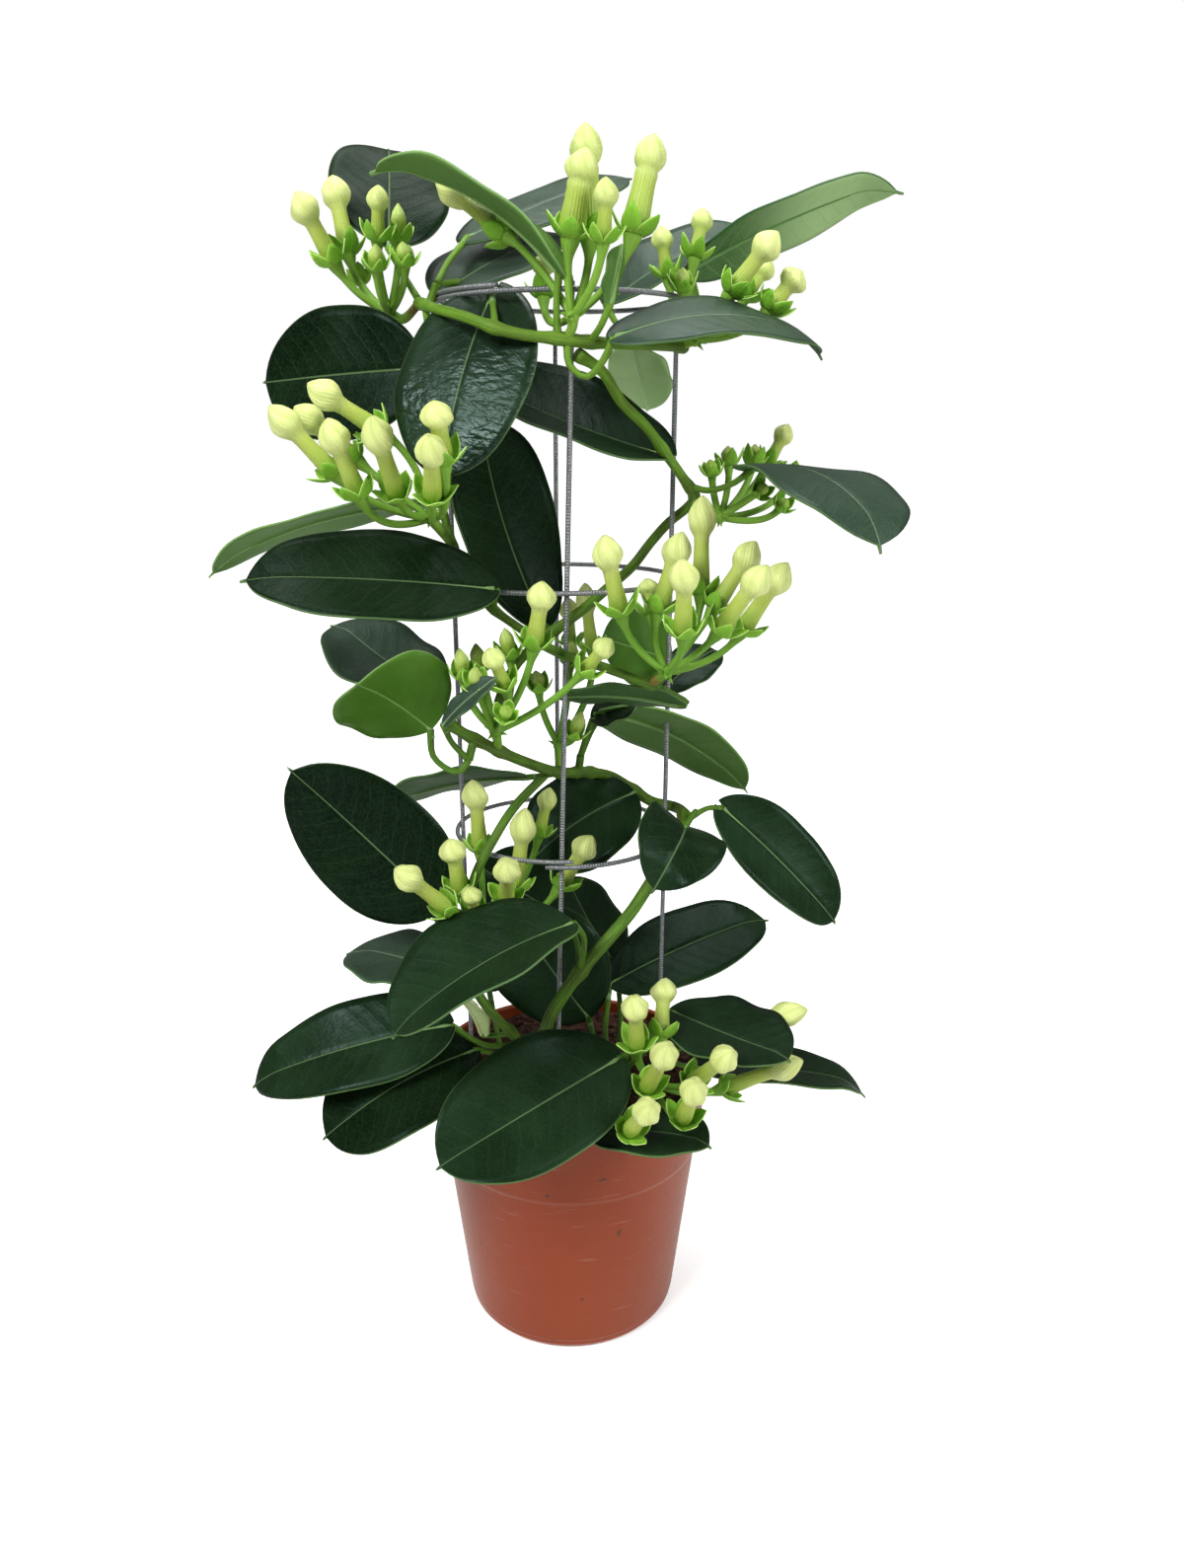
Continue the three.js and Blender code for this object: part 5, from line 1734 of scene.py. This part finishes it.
LEAVES = (
    LeafGroup("leaf_top_back", (
        Blade(((-57, -7, 453), (-64, -2, 464)), (-69.5, 2, 473.5), (-74, 44, 517.5), 48, (0.27, -0.67, 0.69),
              bow=0.04, fold=0.09, hook=1.6, lobe=0, notch=0.01, tone=Tone.DARK),
    )),
    LeafGroup("leaf_top_arch", (
        Blade(((-2, -55, 436), (-2.5, -58.5, 446)),
              (-1.5, -55.5, 457.5), (-66, -43, 494), 41, (0.42, -0.06, 0.91),
              bow=0.1, fold=0.22, hook=3.5, lobe=0.08, widest=0.43, tone=Tone.FRESH),
    )),
    LeafGroup("leaves_top_rear", (
        Blade(((-49, -16, 458), (-46.5, 6, 469)), (-40.5, 23, 480), (26, 47, 508), 46, (-0.22, -0.44, 0.87),
              bow=0.02, fold=-0.03, hook=2.4, lobe=0.06, widest=0.49, tone=Tone.GREY),
        Blade(((-49, -16, 458), (-47.5, -2, 460)),
              (-43.5, 12, 462), (-2, 48.5, 486), 54, (-0.21, -0.45, 0.87),
              bow=0.03, hook=1.3, lobe=0.19, notch=0.01, widest=0.38, tone=Tone.GREY),
    ), fork=((-52, -18, 450), (-49, -16, 458))),
    LeafGroup("leaves_behind_top", (
        Blade(((38, -12, 439), (21.5, 6, 444.5)),
              (15.5, 22, 454.5), (77, 44.5, 487), 46, (-0.32, -0.44, 0.84),
              bow=0.05, fold=0.15, hook=1.9, lobe=0.01, notch=0.03, widest=0.51, tone=Tone.GREY),
        Blade(((38, -12, 439), (28, 7.5, 442)), (26, 17.5, 438), (34, 37.5, 414), 28, (0.36, 0.72, 0.59),
              bow=0.02, fold=0.04, hook=0.9, notch=0.02, widest=0.47, tone=Tone.LIT),
    ), fork=((43, -17, 436), (38, -12, 439))),
    LeafGroup("leaf_right_high", (
        Blade(((46, -13, 436), (51, -2, 452)), (48, 5, 466), (128.5, 19, 500.5), 36, (-0.42, 0.43, 0.8),
              bow=0.03, fold=-0.11, hook=6.8, notch=0.02, widest=0.38, tone=Tone.HALF),
    )),
    LeafGroup("leaf_right_front", (
        Blade(((1, -54, 435), (2, -57, 427), (8, -59, 423), (13.5, -61.5, 428)),
              (17.5, -62.5, 436), (97, -30.5, 435.5), 38, (0.01, -0.42, 0.91),
              bow=0.11, fold=-0.03, hook=5.7, widest=0.46, tone=Tone.GREY),
    )),
    LeafGroup("leaf_left_upper", (
        Blade(((-52, -27, 449), (-51, -30, 435.5)),
              (-53, -30, 427.5), (-119.5, -6, 423), 50, (-0.3, -0.94, 0.15),
              bow=0.03, lobe=0, notch=0.01, tone=Tone.DARK),
    )),
    LeafGroup("leaf_centre_glossy", (
        Blade(((-24, -57.5, 440),), (-26.5, -37, 452.5), (-43.5, -67.5, 389.5), 52, (-0.3, -0.88, 0.36),
              bow=0.07, fold=-0.07, lobe=0.09, notch=0.04, widest=0.48, wrinkles=1, tone=Tone.GLOSSY),
    )),
    LeafGroup("leaf_centre_back", (
        Blade(((37.5, -15, 398),), (40, -6.5, 395.5), (-30, -7.5, 421.5), 54, (0.34, -0.49, 0.8),
              bow=-0.03, fold=0.3, lobe=0.05, notch=0.07, widest=0.64),
    )),
    LeafGroup("leaf_centre_tall", (
        Blade(((-6, -39, 330),), (-9, -26, 330), (-32, -34, 409), 45, (0.57, -0.8, 0.19),
              bow=-0.08, fold=0.18, hook=0.7, lobe=0.02, notch=0.02, widest=0.64, tone=Tone.DARK),
    )),
    LeafGroup("leaf_left_under", (
        Blade(((-46, -27, 366), (-48.5, -25, 376)),
              (-52.5, -24, 378), (-146, -10, 351.5), 36, (-0.23, 0.26, 0.94),
              bow=0.06, fold=-0.05, hook=3, notch=0.02, widest=0.49, tone=Tone.FRESH),
    )),
    LeafGroup("leaf_left_long", (
        Blade(((-28, -44, 340),), (-26, -50.5, 347.5), (-116, -67, 354), 50, (0.1, -0.55, 0.83),
              bow=0.02, fold=0.12, hook=2.1, lobe=0.01, notch=0.02, widest=0.49, tone=Tone.DARK),
    )),
    LeafGroup("leaf_left_grey", (
        Blade(((-46, -52, 296), (-48, -41, 299)),
              (-53, -23, 303), (-95.5, -4.5, 328), 54, (0.18, -0.26, 0.95),
              bow=-0.05, fold=0.04, hook=2.8, lobe=0, notch=0.08, widest=0.57, tone=Tone.GREY),
    )),
    LeafGroup("leaves_left_bright", (
        Blade(((-38, -55, 282), (-42, -58, 278), (-51, -58.5, 284)),
              (-52, -58.5, 295), (-72, -78, 315.5), 48, (-0.43, -0.85, 0.31),
              bow=-0.06, fold=-0.2, lobe=0, notch=0.17, widest=0.64, tone=Tone.FRESH),
        Blade(((-38, -55, 282), (-43.5, -60, 290)),
              (-45.5, -71, 300), (-26, -76.5, 318), 8, (-0.27, -0.71, 0.65),
              bow=0.06, lobe=0, notch=0.07, widest=0.51, tone=Tone.GREY),
    ), fork=((-36, -51, 290), (-38, -55, 282))),
    LeafGroup("leaf_right_upper", (
        Blade(((50, -6.5, 383), (57, -13, 382), (66, -16, 385)),
              (73, -15.5, 390.5), (111, -85, 369.5), 54, (0.25, -0.36, 0.9),
              bow=0.12, fold=-0.03, hook=5.9, lobe=0.04, widest=0.64, tone=Tone.GREY),
    )),
    LeafGroup("leaves_middle_rear", (
        Blade(((36, -40, 308), (38, -8, 307.5)), (44, 16, 308.5), (13.5, -2, 321), 35, (0.4, -0.82, 0.41),
              bow=0.02, fold=0.12, lobe=0.02, widest=0.46, tone=Tone.FRESH),
        Blade(((36, -40, 308), (38.5, -5.5, 298)),
              (43.5, 30.5, 293), (68.5, 53, 307.5), 24, (0.04, -0.46, 0.89),
              bow=0.06, fold=0.07, hook=2.2, lobe=0.07, widest=0.47),
        Blade(((36, -40, 308), (47.5, -37.5, 301)),
              (44.5, -35.5, 300), (-5.5, -37.5, 303), 26, (0.01, 0.48, 0.87),
              bow=0.05, fold=0.02, lobe=0.07, widest=0.47, tone=Tone.GREY),
    ), fork=((34, -47, 310), (36, -40, 308))),
    LeafGroup("leaves_middle_right", (
        Blade(((5, -6, 271), (7, -11, 279.5)), (10, -8, 287.5), (31.5, -9, 298.5), 28, (-0.22, -0.27, 0.94)),
        Blade(((5, -6, 271), (11.5, -6.5, 285)), (16.5, -7.5, 290), (81, 20, 248.5), 38, (0.12, 0.64, 0.76),
              bow=0.08, fold=-0.05, hook=2.4, lobe=0.07, widest=0.38, tone=Tone.FRESH),
    ), fork=((4, -4, 263), (5, -6, 271))),
    LeafGroup("leaf_core_dark", (
        Blade(((29, 18, 248),), (29, 8.5, 250), (-16.5, -7, 224), 48, (-0.09, -0.67, 0.74),
              bow=0.11, fold=0.04, hook=1, lobe=0, notch=0.02, widest=0.57),
    )),
    LeafGroup("leaves_right_low", (
        Blade(((54, -7, 244), (53.5, -20, 250)), (48.5, -32, 247), (35.5, -64, 234), 36, (0.14, -0.81, 0.56),
              bow=0.22, fold=0.17, hook=6.3, lobe=0.45, widest=0.49),
        Blade(((54, -7, 244), (60.5, -2.5, 246)), (67.5, 1.5, 245), (118.5, -9, 195), 37, (0.37, -0.78, 0.5),
              bow=0.04, fold=0.25, hook=1.4, lobe=0.05, notch=0.01, widest=0.43),
    ), fork=((50, -3, 243), (54, -7, 244))),
    LeafGroup("leaf_left_big", (
        Blade(((-41, -50, 216), (-47, -43.5, 211.5)),
              (-53, -38.5, 212.5), (-108, -43, 272), 52, (0.01, -0.99, 0.15),
              bow=-0.03, fold=0.03, lobe=0, notch=0.07, widest=0.42, tone=Tone.DARK),
    )),
    LeafGroup("leaf_left_edge", (
        Blade(((9, 6, 260), (-5.5, 13.5, 257)),
              (-19.5, 19.5, 254), (-85.5, 36.5, 236.5), 41, (0.12, 0.41, 0.9),
              bow=0.05, fold=0.07, lobe=0.01, notch=0.02, widest=0.53, tone=Tone.GREY),
    )),
    LeafGroup("leaf_behind_buds", (
        Blade(((5, -54, 192), (2, -20, 194)), (-6, -4, 197), (-40, -10, 222), 40, (0.1, -0.91, 0.4)),
    )),
    LeafGroup("leaf_left_small", (
        Blade(((-41, -52, 196),), (-52, -48.5, 189.5), (-88, -34, 193), 47, (0.08, -0.08, 0.99),
              bow=0.03, fold=0.02, hook=1.1, notch=0.22, widest=0.52, tone=Tone.GREY),
    )),
    LeafGroup("leaf_front_big", (
        Blade(((5, -54, 192), (6.5, -63, 211.5)),
              (2.5, -67, 219), (-64.5, -104.5, 191), 54, (-0.11, -0.17, 0.98),
              bow=0.07, fold=0.3, hook=2.5, lobe=0, notch=0.01, widest=0.49),
    )),
    LeafGroup("leaf_left_low", (
        Blade(((-22, -38, 150), (-36, -55, 159.5)),
              (-48, -61, 171.5), (-130.5, -64.5, 147.5), 40, (-0.23, -0.61, 0.76),
              bow=0.06, fold=0.1, hook=4.2, lobe=0.02, notch=0.03, widest=0.38),
    )),
    LeafGroup("leaf_left_lowest", (
        Blade(((-25, -31, 130), (-33, -47.5, 151.5)),
              (-39, -58.5, 158.5), (-98, -83, 132), 51, (-0.28, -0.5, 0.82),
              bow=0.09, widest=0.55, tone=Tone.DARK),
    )),
    LeafGroup("leaf_front_low", (
        Blade(((25, -51, 149), (23.5, -58.5, 156.5)),
              (20.5, -65.5, 158.5), (-49, -111.5, 138), 54, (0.05, -0.58, 0.81),
              bow=0.01, fold=0.22, hook=1.6, widest=0.48),
    )),
    LeafGroup("leaf_curled_pale", (
        Blade(((-26, -43, 158), (-33, -39, 155)), (-37, -38, 155), (-50, -38, 175.5), 22, (0.91, 0.35, 0.2),
              bow=0.08, fold=0.3, tone=Tone.PALE),
    )),
    LeafGroup("leaves_inner", (
        Blade(((16, -26, 126), (12, -7.5, 131.5)),
              (8, 0.5, 143.5), (-26.5, 4.5, 194), 54, (-0.19, -0.93, 0.31),
              bow=0.04, fold=-0.11, lobe=0.02, widest=0.55),
        Blade(((16, -26, 126), (23, 1.5, 135.5)),
              (22, 23.5, 158.5), (-1.5, 29.5, 200.5), 42, (0.75, -0.53, 0.4),
              bow=-0.03, notch=0.04, widest=0.42),
    ), fork=((18, -36, 124), (16, -26, 126))),
    LeafGroup("leaf_right_mid", (
        Blade(((23, -47, 142), (16, -18.5, 142)), (18, 7.5, 157), (91.5, 29, 182), 44, (-0.21, -0.47, 0.86),
              bow=0.04, fold=0.04, hook=3.2, lobe=0.01, notch=0.04, widest=0.52),
    )),
    LeafGroup("leaves_right_rim", (
        Blade(((40, -42, 156),), (43, -36, 166), (90.5, -70, 162), 51, (0.08, -0.09, 0.99),
              bow=-0.02, fold=0.1, hook=2.9, lobe=0),
        Blade(((40, -42, 156), (46.5, -30, 137)),
              (55.5, -22, 130), (130, -30.5, 127.5), 39, (0.21, 0.07, 0.98),
              bow=0.04, fold=0.08, hook=5.6, notch=0.03, widest=0.49),
    ), fork=((35, -49, 158), (40, -42, 156))),
    LeafGroup("leaf_right_bottom", (
        Blade(((24, -50, 146), (8.5, -60, 132.5)),
              (11.5, -67, 127.5), (57.5, -84, 132), 44, (0.29, -0.04, 0.96),
              bow=0.03, fold=0.05, hook=3.3, lobe=0.05),
    )),
    LeafGroup("leaf_young", (
        Blade(((9, -52, 435), (13, -60, 440)), (16, -60, 447), (20, -61, 466), 8, (-0.7, 0.7, 0.12),
              fold=0.3, tone=Tone.FRESH),
    )),
    LeafGroup("leaf_rear_upper", (
        Blade(((-53, -12, 392), (-52, 14, 398)), (-46, 34, 402), (-38, 72, 455), 44, (0, 0.85, 0.53),
              bow=0.06),
    )),
    LeafGroup("leaf_rear_lower", (
        Blade(((-26, -29, 120), (-34, 2, 132)), (-40, 26, 146), (-66, 78, 168), 46, (0.11, 0.53, 0.84),
              bow=0.08),
    )),
)
UMBELS = (
    Umbel("umbel_top_left", ((-57, -8, 452), (-63, -12, 446)), (-68, -12, 448), (
        Bud((-87, -16, 465), (-99, -22, 489), Grade.LARGE),
        Bud((-84, -4, 470), (-90, 2, 499), Grade.LARGE),
        Bud((-70, -20, 472.5), (-68, -24, 491), Grade.MEDIUM),
        Bud((-63.5, -10, 473), (-63.5, -8, 487.5), Grade.SMALL),
        Bud((-69.5, -28, 461.5), (-69, -32, 470), Grade.SMALL),
        Bud((-59.5, -24, 463.5), (-59, -27, 471.5), Grade.SMALL),
        Bud((-81.5, 6, 461.5), (-83.5, 12, 469), Grade.GREEN),
    )),
    Umbel("umbel_top", ((1, -54, 436), (3, -57, 440)), (3, -58, 443), (
        Bud((9, -54, 469), (7.5, -56, 504.5), Grade.PLUMP),
        Bud((2.5, -63, 467.5), (7.5, -66.5, 495), Grade.PLUMP),
        Bud((24, -52, 470), (31.5, -50, 502.5), Grade.PLUMP),
        Bud((13.5, -70, 465), (15, -74, 484.5), Grade.MEDIUM),
        Bud((-20, -38, 471.5), (-47.5, -14, 495), Grade.LARGE),
        Bud((-8, -30, 452), (-8, -26, 467), Grade.MEDIUM),
    )),
    Umbel("umbel_top_right", ((44, -16, 436),), (49, -20, 438), (
        Bud((39, -6, 461.5), (36, -6, 480), Grade.MEDIUM),
        Bud((49, -8, 468), (53, -4, 486.5), Grade.MEDIUM),
        Bud((60.5, -30, 453), (77, -34, 474), Grade.LARGE),
        Bud((68.5, -12, 453.5), (78, -8, 467.5), Grade.MEDIUM),
        Bud((75.5, -24, 447.5), (87.5, -24, 462), Grade.LARGE),
        Bud((43.5, -26, 454.5), (43, -29, 462.5), Grade.SMALL),
    )),
    Umbel("umbel_left", ((-44, -32, 362),), (-51, -42, 373), (
        Bud((-83.5, -52, 389), (-105.5, -56, 413.5), Grade.LARGE),
        Bud((-77.5, -42, 394), (-99.5, -44, 413.5), Grade.LARGE),
        Bud((-66, -50, 404), (-91, -58, 421), Grade.LARGE),
        Bud((-72.5, -68, 382), (-81, -78, 409), Grade.LARGE),
        Bud((-60, -62, 382), (-64.5, -84, 409.5), Grade.LARGE),
        Bud((-40.5, -82, 394), (-42, -90, 414.5), Grade.LARGE),
        Bud((-46, -74, 382), (-43, -94, 403.5), Grade.LARGE),
    )),
    Umbel("umbel_right", ((51, -4, 378),), (62, -5, 371), (
        Bud((58, -8, 387.5), (57.5, -10, 394), Grade.GREEN),
        Bud((65.5, 0, 391), (65, 1, 399), Grade.SMALL),
        Bud((76.5, 10, 391), (78.5, 14, 399.5), Grade.SMALL),
        Bud((83, 16, 390.5), (93, 22, 407.5), Grade.MEDIUM),
        Bud((91.5, 8, 385), (95, 10, 392.5), Grade.SMALL),
        Bud((86, -6, 374.5), (88.5, -9, 378.5), Grade.GREEN),
        Bud((76, -12, 381), (79, -17, 384), Grade.GREEN),
    )),
    Umbel("umbel_centre", ((33, -48, 311),), (38, -57, 317), (
        Bud((20.5, -66, 340), (13.5, -72, 369.5), Grade.LARGE),
        Bud((34.5, -54, 339), (43.5, -52, 369), Grade.LARGE),
        Bud((52, -38, 343.5), (52.5, -28, 381), Grade.LARGE),
        Bud((42.5, -76, 334), (42, -86, 362.5), Grade.LARGE),
        Bud((56.5, -42, 338.5), (73.5, -36, 364), Grade.LARGE),
        Bud((56, -66, 333.5), (72.5, -74, 359), Grade.LARGE),
        Bud((66, -54, 331.5), (82.5, -56, 358), Grade.LARGE),
        Bud((33, -40, 336.5), (31, -36, 350), Grade.MEDIUM),
    )),
    Umbel("umbel_inner", ((-4, -20, 267),), (-4, -16, 278), (
        Bud((0.5, 2, 317), (0, 6, 337), Grade.MEDIUM),
        Bud((10, -10, 317), (6.5, -12, 345.5), Grade.MEDIUM),
        Bud((-12, -20, 302), (-12.5, -22, 311), Grade.SMALL),
        Bud((1.5, -19, 282), (6, -22, 294), Grade.SMALL),
        Bud((1, -22, 313.5), (2, -25, 323.5), Grade.SMALL),
    )),
    Umbel("umbel_cluster", ((-27, -46, 284),), (-27, -57, 294), (
        Bud((-38.5, -62, 315.5), (-39, -64, 327.5), Grade.SMALL),
        Bud((-32.5, -52, 316), (-35, -51, 327), Grade.SMALL),
        Bud((-22, -70, 313.5), (-27, -76, 329.5), Grade.MEDIUM),
        Bud((-21, -56, 322), (-23, -57, 334), Grade.SMALL),
        Bud((-12, -62, 327), (-7.5, -66, 352.5), Grade.LARGE),
        Bud((-32.5, -68, 313.5), (-33, -76, 322.5), Grade.SMALL),
        Bud((-22, -76, 304), (-21, -82, 309), Grade.GREEN),
        Bud((6, -62, 317.5), (17, -66, 331), Grade.MEDIUM),
    )),
    Umbel("umbel_lower", ((-41, -52, 203),), (-35, -48, 203), (
        Bud((-46, -62, 222), (-66, -72, 244), Grade.LARGE),
        Bud((-43.5, -50, 225), (-46.5, -52, 249), Grade.LARGE),
        Bud((-37, -30, 235.5), (-39, -26, 266), Grade.LARGE),
        Bud((-22, -36, 220.5), (-17.5, -36, 256.5), Grade.LARGE),
        Bud((-13, -18, 238), (-8, -14, 259), Grade.MEDIUM),
        Bud((-25, -50, 222), (-23, -66, 244.5), Grade.LARGE),
        Bud((-37, -57, 217), (-38, -62, 232), Grade.MEDIUM),
        Bud((-4, -34, 221), (10, -32, 243.5), Grade.LARGE),
    )),
    Umbel("umbel_pot", ((28, -51, 151),), (34, -62, 146), (
        Bud((38, -62, 166), (40, -48, 186.5), Grade.LARGE),
        Bud((28, -70, 166), (26.5, -78, 193), Grade.LARGE),
        Bud((31.5, -78, 152), (39.5, -98, 182.5), Grade.LARGE),
        Bud((50, -72, 151), (65, -90, 175.5), Grade.LARGE),
        Bud((46, -82, 140.5), (50, -102, 169), Grade.LARGE),
        Bud((24.5, -88, 139), (32.5, -108, 163), Grade.LARGE),
        Bud((64.5, -52, 136.5), (98.5, -54, 151.5), Grade.LARGE),
        Bud((66, -34, 156), (104, -28, 162), Grade.LARGE),
    )),
)


def joints(leaves: Sequence[LeafGroup], umbels: Sequence[Umbel]) -> tuple[Triple, ...]:
    """Collects the places where leaves and umbels spring from the stems."""
    forks = [group.fork[0] if group.fork else group.blades[0].stalk[0] for group in leaves]
    return (*forks, *(umbel.root[0] for umbel in umbels))


def main() -> None:
    """Builds the plant in its pot, piece by piece."""
    logging.basicConfig(level=logging.INFO, format="%(message)s")
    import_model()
    Studio(lights=LIGHTS).build()
    pot = NurseryPot()
    pot.build()
    Peat(pot).build()
    Trellis(rings=RINGS, uprights=UPRIGHTS).build()
    Vines(stems=STEMS, joints=joints(LEAVES, UMBELS)).build()
    Foliage(groups=LEAVES).build()
    Umbels(groups=UMBELS, rusty=("umbel_top_left", "umbel_centre", "umbel_lower")).build()


if __name__ == "__main__":
    main()
